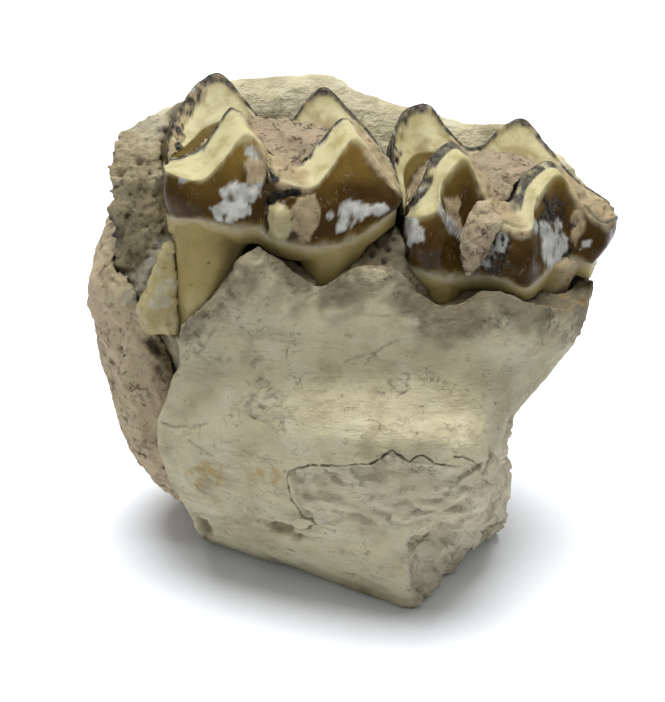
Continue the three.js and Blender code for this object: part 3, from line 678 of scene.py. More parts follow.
def make_bone(material, teeth):
    """The bone, with its crack, ledge, broken face, rough front end, scars and stains."""
    bone = copy_of("jaw_bone", "bone")
    resurfaced(bone, BONE_MESH, 2)
    points, normals = places(bone)
    refine(bone, facing(normals) > 0.3)
    points, normals = places(bone)
    near = nearest_of(photo_xy(points), [CRACK_ALONG, CRACK_DOWN, CRACK_SHORT, CREASE, *SCRATCHES])
    refine(bone, (near < 5) & (facing(normals) > 0.3))
    modified(bone, "SMOOTH", factor=0.5, iterations=2)
    points, normals = places(bone)
    back_rim = smooth_step(22.4, 23.4, points[:, 0]) * smooth_step(25.4, 27, points[:, 2])
    put(bone, points - back_rim[:, None] * (0.6, 0, 1.0))

    points, normals = places(bone)
    pixels = photo_xy(points)
    shaky = broken_pixels(points, 3)
    seen = facing(normals)
    wander = 5 * layered(points, 1.6, 5, 3)
    top = smooth_step(29, 31, points[:, 2]) * smooth_step(10, 13, points[:, 1])
    rough = seen * patch(pixels, ROUGH_END, wander, 4) * smooth_step(24.5, 26, points[:, 2])
    front_end = smooth_step(-15, -16.5, points[:, 0]) * smooth_step(24, 26, points[:, 2])
    rough = np.maximum(rough, front_end * (1 - top))
    broken = seen * patch(pixels, BROKEN_FACE, 0.5 * wander, 3)
    broken = np.maximum(broken, smooth_step(13.6, 15, points[:, 0]) * smooth_step(17, 14, points[:, 2]))
    strand = points * np.array([0.3, 1, 1])
    amount = 0.15 * layered(points, 3.4, 11) + 0.05 * layered(points, 0.9, 12)
    amount += 0.05 * (1 - np.abs(layered(strand, 0.9, 13, 3)))
    amount += rough * (0.14 * layered(points, 0.5, 63, 2) + 0.25 * chips(points, 1.9, 21)
                       + 0.15 * layered(points, 1.0, 23) - 0.3 * pits(points, 0.8, 22, 0.36))
    slabs = 0.85 * chips(points, 3.2, 24) + 0.15 * layered(points, 1.6, 66)
    amount += broken * (0.3 + 0.7 * seen) * slabs
    amount += broken * seen * (0.42 * chips(points, 1.2, 25) + 0.1 * layered(points, 0.6, 65)
                               - 0.2 * pits(points, 1.6, 28))
    amount += top * (0.12 * layered(points, 1.8, 29) + 0.1 * chips(points, 1.4, 30))
    hollow = seen * patch(shaky, HOLLOW, 0.4 * wander, 6)
    amount -= 1.3 * hollow
    pit_mark = seen * any_patch(shaky, PIT_MARKS, 0.2 * wander, 2.5)
    amount -= 0.6 * pit_mark
    lower = seen * smooth_step(-1, 1.5, inside(shaky, LEDGE))
    below = np.clip(line_distance(pixels, CRACK_ALONG) / 60, 0, 1)
    amount -= lower * (0.5 - 0.35 * below)
    amount += lower * (0.45 * chips(points * (0.6, 1, 1), 1.3, 35) + 0.16 * layered(strand, 0.9, 36))
    flaked = seen * any_patch(shaky, FLAKES, 0.3 * wander, 1.2)
    flake_edge = seen * smooth_step(1.7, 0.5, nearest_of(shaky, [flake + flake[:1] for flake in FLAKES]))
    flake_edge *= smooth_step(-0.3, 0.2, layered(points, 0.7, 48))
    amount += flaked * (-0.08 + 0.3 * chips(points, 0.8, 37)) - 0.08 * flake_edge
    margin = seen * smooth_step(48, 12, line_distance(pixels, MARGIN) + 2.5 * wander) * (1 - rough)
    amount += margin * (0.12 * layered(points, 0.6, 38) - 0.14 * creases(points, 0.8, 39, 0.15))
    crease = seen * np.maximum(smooth_step(4, 0.5, line_distance(shaky, CREASE)),
                               0.7 * smooth_step(2.2, 0.5, nearest_of(shaky, SCRATCHES)))
    amount -= 0.14 * crease
    width = 1.0 + 0.5 * layered(points, 0.8, 49, 3)
    side_crack = nearest_of(shaky, [CRACK_DOWN, CRACK_SHORT])
    crack = seen * np.maximum(smooth_step(1.0, 0.3, line_distance(shaky, CRACK_ALONG) / width),
                              0.85 * smooth_step(0.9, 0.3, side_crack / width))
    crack *= 0.5 + 0.5 * smooth_step(-0.5, 0.3, layered(points, 1.2, 62))
    amount -= 0.35 * crack
    pore = np.zeros(len(points))
    for spot in PORES:
        pore = np.maximum(pore, seen * smooth_step(3.6, 1.4, np.linalg.norm(shaky - spot, axis=1)))
    small = seen * pits(points, 1.5, 26, 0.15) * smooth_step(-0.1, 0.3, noise(points, 4, 27))
    amount -= 0.3 * pore + 0.14 * small
    packed_in = closeness(points, teeth, 0.45, 0.75) * smooth_step(21.4, 19.4, points[:, 0])
    amount += 0.36 * packed_in
    push(bone, amount)

    packed = seen * patch(pixels, BETWEEN_TEETH, wander, 3)
    inner = smooth_step(0.6, 1.6, points[:, 1]) * smooth_step(24, 26, points[:, 2])
    inner *= (1 - top) * (1 - rough)
    speckles = rough * pits(points, 0.5, 34, 0.42) * smooth_step(-0.5, 0.4, layered(points, 2.4, 45))
    keep(bone, "crack", np.maximum.reduce([0.85 * crack, 0.8 * pore, 0.5 * small, 0.15 * crease,
                                           0.25 * flake_edge, 0.8 * speckles]))
    grime_and_shade = margin * smooth_step(-1.1, 0.2, layered(points, 2.0, 40))
    grime_and_shade = np.maximum(grime_and_shade, 0.35 * smooth_step(0.1, 0.9, layered(points, 5, 31)) * seen)
    # Painted shade: the SHADED patches grey the bone's right side and left sheet. The rest of this grey is
    # the darker band along the tooth margin, mottling and stains.
    shaded = any_patch(pixels, SHADED, 1.5 * wander, 16) * (0.7 + 0.3 * layered(points, 1.5, 50))
    grime_and_shade = np.maximum(grime_and_shade, seen * np.maximum(0.4 * shaded, 0.35 * any_patch(pixels, STAINS, wander, 5)))
    keep(bone, "grime_and_shade", np.maximum.reduce([grime_and_shade, 0.15 * flaked, packed, 0.9 * inner, packed_in]))
    spotted = smooth_step(-0.6, 0.5, layered(points, 0.6, 33))
    keep(bone, "rust", seen * any_patch(pixels, RUSTY, wander, 5) * spotted)
    edge_line = smooth_step(6, 1, line_distance(shaky, MARGIN))
    edge_line *= smooth_step(-0.4, 0.3, layered(points, 1.1, 60))
    keep(bone, "brown", np.maximum(pit_mark, 0.6 * seen * edge_line))
    pale = np.maximum(patch(pixels, PALE_STREAK, wander, 3), 0.5 * patch(pixels, PALE_CAP, wander, 5))
    pale *= seen * (0.75 + 0.25 * layered(points, 0.8, 61))
    keep(bone, "pale", np.maximum(pale, 0.15 * flaked))
    keep(bone, "broken", np.maximum(broken, 0.6 * lower))
    keep(bone, "rough", rough)
    keep(bone, "blue", seen * patch(pixels, BLUE_SPOT, wander, 3))
    finished(bone, "jaw_bone", material)


# Rock

# Slits between the rock and the bone, sunk in and coloured dark: painted shade in the gaps
DARK_SLIT = [
    [(148, 344), (160, 340), (182, 352), (180, 362), (160, 356)],
    [(120, 246), (128, 244), (134, 252), (126, 262), (116, 258)],
]
PALE_STREAK = [(158, 238), (168, 240), (160, 258), (146, 280), (134, 302), (122, 306), (126, 290),
    (142, 264)]
PALE_CAP = [(98, 112), (140, 100), (168, 104), (168, 140), (128, 132), (104, 136)]


def make_rock(material):
    """The rock that is stuck behind and left of the bone."""
    rock = copy_of("rock_matrix", "rock")
    resurfaced(rock, ROCK_MESH, 5)
    points, normals = places(rock)
    refine(rock, facing(normals) > 0.2)
    points, normals = places(rock)
    pixels = photo_xy(points)
    seen = facing(normals)
    wander = 4 * layered(points, 1.4, 41, 3)
    amount = 0.28 * layered(points, 3.0, 42) + 0.14 * layered(points, 0.7, 43, 3)
    amount += 0.2 * chips(points, 2.2, 47)
    hole = pits(points, 2.3, 44, 0.2)
    # Painted shade: the slits are coloured dark as well as sunk in
    slit = seen * any_patch(pixels, DARK_SLIT, wander, 2.5)
    amount -= 0.3 * hole + 0.5 * slit + 0.12 * pits(points, 0.8, 64, 0.4)
    push(rock, np.minimum(amount, 0.3))
    specks = smooth_step(0.3, 0.6, layered(points, 0.5, 46))
    specks *= smooth_step(-0.2, 0.5, layered(points, 2.5, 59))
    keep(rock, "dark", np.maximum.reduce([0.4 * hole, slit, 0.6 * specks]))
    keep(rock, "pale", seen * patch(pixels, PALE_STREAK, wander, 3))
    finished(rock, "rock_matrix", material)


VALLEY_LINES = [
    [(243, 101), (256, 108), (270, 121), (284, 134)],
    [(248, 96), (266, 108), (286, 117)],
    [(252, 131), (263, 155), (275, 176)],
    [(278, 171), (294, 162), (309, 148), (322, 135)],
    [(262, 112), (270, 106), (280, 112), (290, 110)],
    [(283, 150), (296, 158), (304, 168)],
]


def make_small(node, name, material, relief, shade):
    """A small lump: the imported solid, resurfaced, roughened and darkened by a share."""
    piece = copy_of(node, name)
    resurfaced(piece, LUMP_MESH, 4)
    points, normals = places(piece)
    crevice = creases(points, 1.3, 54, 0.1)
    amount = relief * (layered(points, 1.5, 51) + 0.6 * layered(points, 0.5, 52)
                       + 1.5 * chips(points, 1.2, 55))
    push(piece, np.minimum(amount, relief) - relief * crevice)
    dark = np.maximum(0.6 * pits(points, 0.7, 53, 0.2), 0.55 * crevice)
    dark = np.maximum(dark, shade + 0.2 * smooth_step(0.0, 0.8, layered(points, 1.6, 56)))
    drawn = smooth_step(1.7, 0.5, nearest_of(broken_pixels(points, 57), VALLEY_LINES))
    dark = np.maximum(dark, drawn * smooth_step(-0.6, 0.0, layered(points, 0.6, 58)))
    keep(piece, "dark", dark)
    finished(piece, node, material)


# Teeth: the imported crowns' guide lines, run over finely

FRONT_LINES = {
    "neck cheek": [(-13.9, 6, 33.2), (-13.3, 3.1, 33.6), (-10.7, 1.5, 34.1), (-9.4, 1.3, 33.9),
        (-7.6, 1.5, 33.3), (-6.1, 2, 33.1), (-5.1, 1.8, 32.3), (-2.1, 1.5, 31.7), (-0.8, 1.4, 31.7),
        (1.2, 1.8, 31.9), (3.2, 2.4, 32.9), (5.1, 3.4, 34.1), (5.3, 5, 33.6)],
    "wall cheek": [(-14, 6, 35.3), (-13.6, 2.9, 35.6), (-10.8, 1.8, 35.7), (-9.3, 2.1, 35.9),
        (-7.3, 3.3, 36.4), (-5.7, 3, 35.7), (-5, 2.5, 34.8), (-1.7, 2, 34), (-0.5, 2.6, 34.6),
        (1.6, 3.9, 35.5), (3.4, 3.9, 35.3), (5.3, 3.5, 34.7), (5.6, 5, 34)],
    "edge cheek": [(-13.9, 6, 36.9), (-13.2, 3.2, 37.6), (-10.7, 2.7, 37.2), (-8.9, 4.2, 38.4),
        (-7, 6.3, 39.8), (-5.5, 5.1, 38.8), (-4.9, 3.8, 37.2), (-1.7, 3.1, 36.4), (-0.3, 4.5, 37.3),
        (1.9, 7.2, 39), (3.5, 6, 37.5), (5.4, 4, 35.3), (5.7, 5.2, 34.5)],
    "edge valley": [(-13.4, 6.6, 37.2), (-12.2, 6.3, 37.6), (-10.6, 7, 38.3), (-9.6, 8.3, 39.5),
        (-8.4, 9.4, 40.7), (-6.6, 8, 39.4), (-5, 6.4, 37.7), (-2.7, 6.2, 37), (-1, 8.1, 38.2),
        (0.9, 9.9, 39.5), (2.6, 8.2, 38.5), (4.6, 6.6, 36.6), (5.6, 6.4, 35)],
    "valley": [(-13.2, 7.6, 36.6), (-12, 7.9, 35.8), (-10.8, 9, 35.4), (-9.8, 10.6, 35.6),
        (-8.2, 11.4, 36), (-6, 10, 35), (-4.6, 8.4, 34.4), (-2.8, 8.4, 34.2), (-1.4, 10.4, 34.6),
        (0.6, 12, 35), (2.6, 10.6, 34.6), (4.4, 8.8, 34), (5.4, 7.6, 34.2)],
    "edge tongue in": [(-13.3, 8.3, 36.8), (-12.6, 9.4, 37), (-11.8, 11, 37.2), (-10.9, 12.6, 37.5),
        (-9.2, 13.4, 37.8), (-7.2, 12.8, 37.2), (-5.2, 11.6, 36.8), (-3.6, 11.8, 36.6), (-2, 13.4, 36.8),
        (-0.2, 14.2, 36.8), (1.8, 12.8, 36.4), (3.6, 10.6, 35.6), (5.2, 8.4, 34.6)],
    "edge tongue out": [(-13.8, 8.6, 36.9), (-13.7, 11, 37.8), (-13, 14, 38.8), (-11.4, 16.4, 40.2),
        (-9.8, 17, 40.7), (-7.8, 15.4, 39.2), (-5.6, 12.9, 37.9), (-3.6, 13.2, 37.9), (-2.2, 15.8, 38.8),
        (-0.6, 17.4, 39.2), (1.2, 15.8, 38), (3.6, 12.2, 36.6), (5.4, 9.2, 34.9)],
    "wall tongue": [(-14.2, 9, 34.6), (-14.8, 12, 35.4), (-14.2, 15.6, 36), (-12.2, 18.4, 36.4),
        (-9.8, 19.2, 36.6), (-7.4, 18.2, 35.8), (-5.4, 16.6, 35), (-3.6, 16.8, 35), (-1.8, 18.6, 35.4),
        (0.2, 19, 35.2), (2.2, 17.8, 34.6), (4.6, 14, 33.6), (5.6, 9.8, 32.9)],
    "neck tongue": [(-13.8, 9.2, 32.4), (-14, 12.2, 32.8), (-13.4, 15.8, 33), (-11.8, 18.4, 33),
        (-9.6, 19.4, 33), (-7.2, 18.6, 32.6), (-5.2, 17.4, 32.2), (-3.6, 17.6, 32), (-1.8, 19, 32),
        (0.2, 19.2, 31.8), (2.2, 18, 31.6), (4.4, 14, 31.4), (5.2, 10, 31.4)],
}
REAR_LINES = {
    "neck cheek": [(5.9, 4.6, 29.8), (6.5, 2.3, 29.3), (8.2, 1.4, 29.1), (9.6, 1.9, 28.5),
        (10.8, 2.4, 28.3), (12.4, 2.6, 28.3), (13.7, 2, 28.5), (15.9, 1.3, 27.9), (17.6, 3, 28.2),
        (18.8, 5.2, 28.3), (20.2, 6, 28.3), (21.8, 5.6, 28), (22.7, 7.6, 27.7)],
    "wall cheek": [(6, 5, 31.3), (6.5, 2.3, 31.4), (8.7, 1.9, 31.6), (9.7, 3.9, 32), (11.1, 5.3, 32.6),
        (12.5, 4.4, 31.6), (13.8, 2.6, 30.6), (16.3, 2, 30.2), (17.3, 4.6, 31), (19.1, 7.2, 31.4),
        (20.5, 7, 30.4), (22.6, 5.6, 29.6), (24, 7.9, 29.4)],
    "edge cheek": [(6.2, 5.4, 32.6), (7, 3.3, 33.6), (8.5, 3.3, 34.2), (9, 5.4, 35.7), (11, 7.5, 37),
        (12.6, 5.6, 34.7), (14, 3.75, 32.75), (16.2, 3.2, 32.5), (16.9, 5.8, 33.9), (19.2, 9, 34.8),
        (20.8, 8, 32.8), (22.8, 6.5, 31.4), (24.2, 8.2, 31.2)],
    "edge valley": [(6.4, 6.4, 33.4), (6.8, 6.2, 34.3), (7.6, 7.2, 35.6), (8.4, 8.6, 36.8),
        (10, 9.5, 37.5), (12.4, 7.4, 35.4), (13.8, 5.8, 33.8), (14.8, 6, 33.6), (16, 8.6, 34.8),
        (18.6, 11, 35), (20.5, 9.8, 33.5), (22.4, 8.8, 32.2), (24, 9.4, 31.4)],
    "valley": [(6.4, 7.4, 32.8), (6.8, 8.2, 32.6), (7.8, 9.4, 32.6), (8.8, 10.6, 33), (10.2, 11, 33.2),
        (11.8, 9.6, 32.6), (13.2, 8.2, 32), (14.4, 8.4, 31.8), (15.8, 11, 31.8), (17.8, 12.8, 31.8),
        (19.8, 11.8, 31.2), (21.8, 10.2, 30.6), (23.7, 9.9, 30.8)],
    "edge tongue in": [(6.2, 8, 33.2), (6, 9.4, 34.2), (6.2, 11, 34.8), (7.2, 12.4, 35.2),
        (8.8, 12.6, 35.2), (10.2, 12, 34.8), (11.6, 11.2, 34.4), (13.2, 12, 34), (14.8, 14, 34),
        (16.6, 14.8, 33.8), (18.6, 13.6, 33), (20.8, 11.6, 32), (23.4, 10.3, 31.1)],
    "edge tongue out": [(5.8, 8.2, 33.4), (5.1, 10.2, 35.6), (5.3, 13, 37.2), (6.6, 15.6, 38.1),
        (8.3, 16.2, 38.1), (9.8, 14.4, 36.8), (11.4, 12.5, 35.8), (13, 14, 35.3), (14.8, 16.8, 35.7),
        (16.8, 18.2, 35.9), (18.8, 16.2, 34.2), (21.2, 12.8, 32.5), (23.8, 10.7, 31.4)],
    "wall tongue": [(5.7, 8.8, 31.4), (4.7, 11, 32.6), (4.6, 14.4, 33.6), (6, 17.6, 34), (8.2, 18.6, 34),
        (10.4, 17.2, 32.8), (12, 16, 32), (13.6, 17.6, 32), (15.4, 19.8, 32.2), (17.4, 20.4, 31.8),
        (20, 18, 30.8), (22.6, 14, 29.8), (24.1, 10.8, 29.4)],
    "neck tongue": [(5.9, 9, 29.3), (5.2, 11.4, 29.5), (5.2, 15.2, 29.8), (6.4, 18.4, 29.9),
        (8.6, 19.4, 29.8), (10.6, 18.2, 29.2), (12.2, 17, 28.8), (13.8, 18, 28.6), (15.6, 19.6, 28.4),
        (17.6, 19.8, 28.2), (20, 17.4, 27.8), (21.8, 13.6, 27.4), (22.4, 10.4, 27.4)],
}
STATIONS = 13
ALONG = 216
NECK_DEPTH = 2.2
NECK_INSET = 1.3
CAPS = 6                     # shrinking rings that close each end of a crown


def flowing(corners, shares):
    """Points of a smooth line through corners, at shares of its spans from 0 to the last."""
    p = np.array(corners, float)
    p = np.vstack([2 * p[0] - p[1], p, 2 * p[-1] - p[-2]])
    span = np.minimum(np.floor(shares).astype(int), len(corners) - 2)
    t = (shares - span)[:, None]
    a, b, c, d = (p[span + k] for k in range(4))
    gap = [np.maximum(np.linalg.norm(y - x, axis=1), 1e-4)[:, None] ** 0.5
           for x, y in ((a, b), (b, c), (c, d))]
    start = ((b - a) / gap[0] - (c - a) / (gap[0] + gap[1]) + (c - b) / gap[1]) * gap[1]
    end = ((c - b) / gap[1] - (d - b) / (gap[1] + gap[2]) + (d - c) / gap[2]) * gap[1]
    return ((2 * t ** 3 - 3 * t ** 2 + 1) * b + (t ** 3 - 2 * t ** 2 + t) * start
            + (-2 * t ** 3 + 3 * t ** 2) * c + (t ** 3 - t ** 2) * end)


# Each stretch of a crown's skin, from the cheek side over the top to the tongue side and back
# underneath: the lines it runs through, and how many points it gets.
STRETCHES = [
    ("cheek wall", ("neck cheek", "wall cheek", "edge cheek"), 26),
    ("cheek facet", ("edge cheek", "edge valley"), 14),
    ("valley", ("edge valley", "cheek slope", "valley", "tongue slope", "edge tongue in"), 26),
    ("tongue facet", ("edge tongue in", "edge tongue out"), 12),
    ("tongue wall", ("edge tongue out", "wall tongue", "neck tongue"), 22),
    ("under", ("neck tongue", "under tongue", "under middle", "under cheek", "neck cheek"), 10),
]


def crown_grid(lines):
    """Points of the crown's skin, stations by ring, with the stretch and share of each ring place."""
    shares = np.linspace(0, STATIONS - 1, ALONG)
    run = {name: flowing(corners, shares) for name, corners in lines.items()}
    run["cheek slope"] = 0.4 * run["edge valley"] + 0.6 * run["valley"]
    run["tongue slope"] = 0.5 * run["valley"] + 0.5 * run["edge tongue in"]
    middle = 0.5 * (run["neck cheek"] + run["neck tongue"])
    down = np.array([0, 0, NECK_DEPTH])
    for side in ("cheek", "tongue"):
        neck = run["neck " + side]
        inwards = (middle - neck) * (1, 1, 0)
        inwards /= np.maximum(np.linalg.norm(inwards, axis=1), 1e-6)[:, None]
        run["under " + side] = neck + inwards * NECK_INSET - down
    run["under middle"] = middle - down
    rings, stretch, share = [], [], []
    for number, (_, names, count) in enumerate(STRETCHES):
        spans = np.linspace(0, len(names) - 1, count, endpoint=False)
        lanes = np.stack([run[name] for name in names], axis=1)
        for place in spans:
            rings.append(np.stack([flowing(lane, np.array([place]))[0] for lane in lanes]))
            stretch.append(number)
            share.append(place / (len(names) - 1))
    return np.stack(rings, axis=1), np.array(stretch), np.array(share)


def grid_mesh(name, grid, caps=CAPS):
    """A closed mesh over stations by ring, each end closed by shrinking rings and a middle point."""
    ring = grid.shape[1]
    rows = list(grid)
    first, last = grid[0].mean(axis=0), grid[-1].mean(axis=0)
    for k in range(1, caps):
        rows.insert(0, first + (grid[0] - first) * (1 - k / caps))
        rows.append(last + (grid[-1] - last) * (1 - k / caps))
    points = np.vstack(rows + [first[None], last[None]])
    count = len(rows)
    j = np.arange(ring)
    following = (j + 1) % ring
    quads = []
    for i in range(count - 1):
        here, ahead = i * ring, (i + 1) * ring
        quads.append(np.stack([here + j, ahead + j, ahead + following, here + following], axis=1))
    faces = np.vstack(quads).tolist()
    start, end = count * ring, count * ring + 1
    faces += [(start, int(a), int(b)) for a, b in zip(j, following)]
    last_row = (count - 1) * ring
    faces += [(end, int(last_row + b), int(last_row + a)) for a, b in zip(j, following)]
    mesh = bpy.data.meshes.new(name)
    mesh.from_pydata(((points - BENCH) * MM).tolist(), [], faces)
    obj = bpy.data.objects.new(name, mesh)
    bpy.context.scene.collection.objects.link(obj)
    edit_all(obj)
    bpy.ops.mesh.normals_make_consistent(inside=False)
    bpy.ops.object.mode_set(mode="OBJECT")
    return obj


def over_caps(values, caps=CAPS):
    """One value for each grid point carried on to the points that close the ends."""
    rows = [values[0]] * (caps - 1) + list(values) + [values[-1]] * (caps - 1)
    return np.concatenate([np.concatenate(rows), [values[0].mean(), values[-1].mean()]])


FRONT_MARKS = {
    "deposit": [
        [(211, 208), (224, 200), (219, 190), (236, 182), (250, 184), (262, 184), (262, 196), (252, 204),
            (252, 216), (240, 217), (228, 226), (214, 220)],
        [(243, 150), (252, 145), (258, 152), (258, 160), (246, 157)],
        [(326, 214), (332, 214), (338, 226), (330, 222)],
        [(180, 176), (186, 174), (186, 190), (181, 188)],
        [(339, 206), (350, 198), (364, 204), (384, 203), (392, 210), (376, 216), (356, 220), (344, 232),
            (336, 232)],
    ],
    "crust": [
        [(246, 160), (270, 164), (262, 184), (246, 186)],
        [(290, 206), (300, 197), (316, 193), (321, 206), (318, 226), (310, 240), (300, 243), (293, 232)],
    ],
    "gap": [(268, 203), (277, 196), (287, 193), (299, 192)],
    "spots": [
        [(308, 112), (322, 110), (328, 124), (316, 128)],
    ],
    "block": [(268, 206), (276, 201), (288, 202), (293, 212), (292, 232), (286, 242), (276, 246),
        (268, 236)],
    "black": [
        [(266, 200), (276, 192), (292, 190), (298, 195), (284, 199), (270, 206)],
        [(270, 170), (279, 170), (281, 180), (274, 182)],
    ],
    "lines": [
        [(278, 172), (288, 168), (296, 160)],
        [(267, 172), (268, 200), (265, 232)],
    ],
    "band": [(206, 74), (194, 84), (176, 100), (166, 120), (166, 165), (184, 165), (180, 150), (184, 126),
        (197, 105), (208, 84)],
    "rim": 0.86,
    "back ridge": 0,
}
REAR_MARKS = {
    "deposit": [
        [(402, 214), (412, 210), (420, 222), (426, 230), (424, 242), (408, 244), (402, 230)],
        [(430, 196), (440, 198), (446, 214), (462, 228), (462, 240), (450, 232), (440, 212)],
        [(492, 232), (504, 228), (510, 240), (504, 254), (492, 250)],
        [(476, 258), (488, 252), (498, 258), (490, 266), (478, 266)],
        [(528, 222), (536, 216), (538, 232), (530, 234)],
        [(540, 222), (556, 220), (570, 238), (568, 252), (554, 272), (544, 262)],
        [(580, 240), (592, 240), (590, 248), (580, 250)],
    ],
    "crust": [
        [(444, 200), (456, 198), (462, 218), (462, 240), (454, 232), (444, 214)],
        [(572, 210), (586, 208), (584, 232), (576, 248), (568, 240)],
    ],
    "gap": None,
    "spots": [
        [(510, 152), (526, 149), (533, 162), (514, 166)],
        [(414, 143), (428, 141), (432, 156), (418, 160)],
    ],
    "block": None,
    "black": [
        [(482, 262), (496, 226), (506, 218), (514, 236), (508, 262), (498, 276), (484, 272)],
        [(534, 190), (546, 196), (566, 204), (576, 216), (570, 262), (556, 276), (544, 262), (536, 222)],
    ],
    "lines": [
        [(511, 232), (506, 252), (497, 276)],
        [(414, 244), (411, 262)],
    ],
    "band": [(414, 100), (398, 110), (386, 124), (390, 160), (400, 160), (402, 130), (410, 114),
        (420, 104)],
    "rim": 0.58,
    "back ridge": 1,
}


def make_crown(node, name, lines, marks, seed, material):
    """A molar's crown: brown walls, worn facets with dark rims, and the rock and deposit on it."""
    grid, stretch, share = crown_grid(lines)
    obj = grid_mesh(name, grid)
    where = over_caps(np.tile(stretch + 0.0, (ALONG, 1)))
    across = over_caps(np.tile(share, (ALONG, 1)))
    station = over_caps(np.repeat(np.linspace(0, STATIONS - 1, ALONG)[:, None], len(stretch), axis=1))
    zone = {part: np.abs(where - k) < 0.01 for k, (part, _, _) in enumerate(STRETCHES)}
    points, normals = places(obj)
    pixels = photo_xy(points)
    seen = facing(normals)
    shaky = pixels + np.stack([noise(points, 0.5, seed), noise(points, 0.5, seed + 1)], axis=1) * 2.4
    wander = 3.2 * layered(points, 0.8, seed + 2, 3)
    wall = zone["cheek wall"] | zone["tongue wall"]
    facet = zone["cheek facet"] | zone["tongue facet"]
    height = np.where(zone["cheek wall"], across, np.where(zone["tongue wall"], 1 - across, 0))

    across_facet = np.where(zone["tongue facet"], 1 - across, across)
    ragged = layered(points, 0.7, seed + 5, 3)
    coarse = layered(points, 1.5, seed + 14, 3)
    slope = np.zeros(len(points))
    for first in (4, 9):
        slope = np.maximum(slope, smooth_step(first + 0.15, first + 0.75, station + 0.25 * coarse)
                           * smooth_step(first + 3.4, first + 2.6, station + 0.25 * coarse))
    uphill = 1 - slope
    covered = slope * (zone["cheek facet"] * smooth_step(0.02, 0.14, across) + zone["valley"])
    low_tongue = smooth_step(1.1, 0.45, np.minimum(abs(station - 6), abs(station - 11.2)) + 0.3 * coarse)
    covered = np.maximum(covered, zone["tongue facet"] * low_tongue * smooth_step(0.85, 0.7, across))
    over_edge = slope * smooth_step(0.8, 0.92, height + 0.05 * ragged)
    covered = np.maximum(covered, zone["cheek wall"] * over_edge)
    middle = np.minimum(across, 1 - across)
    covered = np.maximum(covered, zone["valley"] * smooth_step(0.18, 0.3, middle + 0.05 * ragged))
    front_band = patch(shaky, marks["band"], wander, 1.5) * zone["tongue facet"] * seen

    worn_edge = 0.7 * uphill * smooth_step(0.88, 1.0, height + 0.04 * ragged)
    dentine = np.maximum(facet, zone["cheek wall"] * worn_edge)
    inner_rim = facet * smooth_step(0.2, 0.1, across_facet + 0.06 * ragged) * zone["tongue facet"]
    far_side = smooth_step(marks["rim"], marks["rim"] + 0.06, across + 0.04 * ragged)
    inner_rim = np.maximum(inner_rim, zone["cheek facet"] * far_side)
    outer_rim = zone["tongue facet"] * smooth_step(0.78, 0.88, across + 0.06 * ragged)
    outer_rim = np.maximum(outer_rim, zone["tongue wall"] * smooth_step(0.9, 0.97, height + 0.02 * ragged))
    back_ridge = smooth_step(9.8, 10.6, station) * marks["back ridge"]
    outer_rim = np.maximum(outer_rim, back_ridge * (zone["cheek facet"] * smooth_step(0.16, 0.06, across)
                                                    + zone["cheek wall"] * smooth_step(0.94, 0.98, height)))
    bank = zone["valley"] * smooth_step(0.24, 0.14, across + 0.05 * ragged)
    rim = np.maximum.reduce([inner_rim, outer_rim, bank * uphill])
    cusp = np.maximum(np.exp(-((station - 4) / 1.2) ** 2), np.exp(-((station - 9) / 1.2) ** 2))
    amber = wall * smooth_step(0.45, 1.0, height + 0.2 * noise(points, 1.6, seed + 6)) * (0.2 + 0.8 * cusp)

    broken_up = smooth_step(-1.0, -0.1, layered(points * (1, 1, 0.4), 0.4, seed + 15, 3))
    cheek = seen * zone["cheek wall"]
    deposit = cheek * any_patch(pixels, marks["deposit"], wander, 1.4) * broken_up
    crust = np.maximum(covered, cheek * any_patch(pixels, marks["crust"], wander, 1.4))
    black = any_patch(shaky, marks["black"], wander, 1.5) * smooth_step(0.3, -0.3, ragged)
    black = np.maximum(black, 0.8 * smooth_step(1.6, 0.5, nearest_of(shaky, marks["lines"])))
    dark = black * seen * (zone["cheek wall"] | zone["cheek facet"]) * (1 - deposit)
    block = np.zeros(len(points))
    if marks["block"]:
        block = cheek * patch(pixels, marks["block"], wander, 1.2)
        bulge = cheek * smooth_step(-1, 10, inside(pixels, marks["block"]))
        gap = seen * smooth_step(4.2, 2.4, line_distance(shaky, marks["gap"]))
    striped = layered(points * (1, 1, 0.3), 0.5, seed + 16, 3)
    tongue_side = zone["tongue wall"] * smooth_step(0.0, 0.4, striped)
    drawn = dark
    dark = np.maximum.reduce([dark, rim * smooth_step(-0.9, -0.1, ragged) * 0.95, 0.7 * tongue_side])
    deposit = np.maximum(deposit, rim * smooth_step(0.4, 0.75, layered(points, 0.6, seed + 8)))
    clouds = layered(points, 0.9, seed + 17)
    deposit = np.maximum(deposit, zone["tongue wall"] * smooth_step(0.35, 0.7, clouds))
    olive = zone["tongue facet"] * smooth_step(0.45, 0.15, across) * cusp * smooth_step(-0.5, 0.3, coarse)
    olive = np.maximum(olive, zone["tongue facet"] * smooth_step(0.62, 0.95, across) * 0.9)
    olive = np.maximum(olive, zone["tongue facet"] * any_patch(shaky, marks["spots"], wander, 5))
    olive = np.maximum(olive, zone["valley"] * smooth_step(0.78, 0.86, across))
    olive = np.maximum(olive, cheek * smooth_step(0.13, 0.02, height + 0.05 * ragged) * 0.9)
    deposit = np.maximum(deposit, 0.3 * cheek * smooth_step(0.08, 0.0, height + 0.04 * ragged))
    crust = np.maximum(crust, front_band * smooth_step(-0.5, 0.1, coarse))
    dark = np.maximum(dark, front_band * smooth_step(0.1, 0.4, striped))

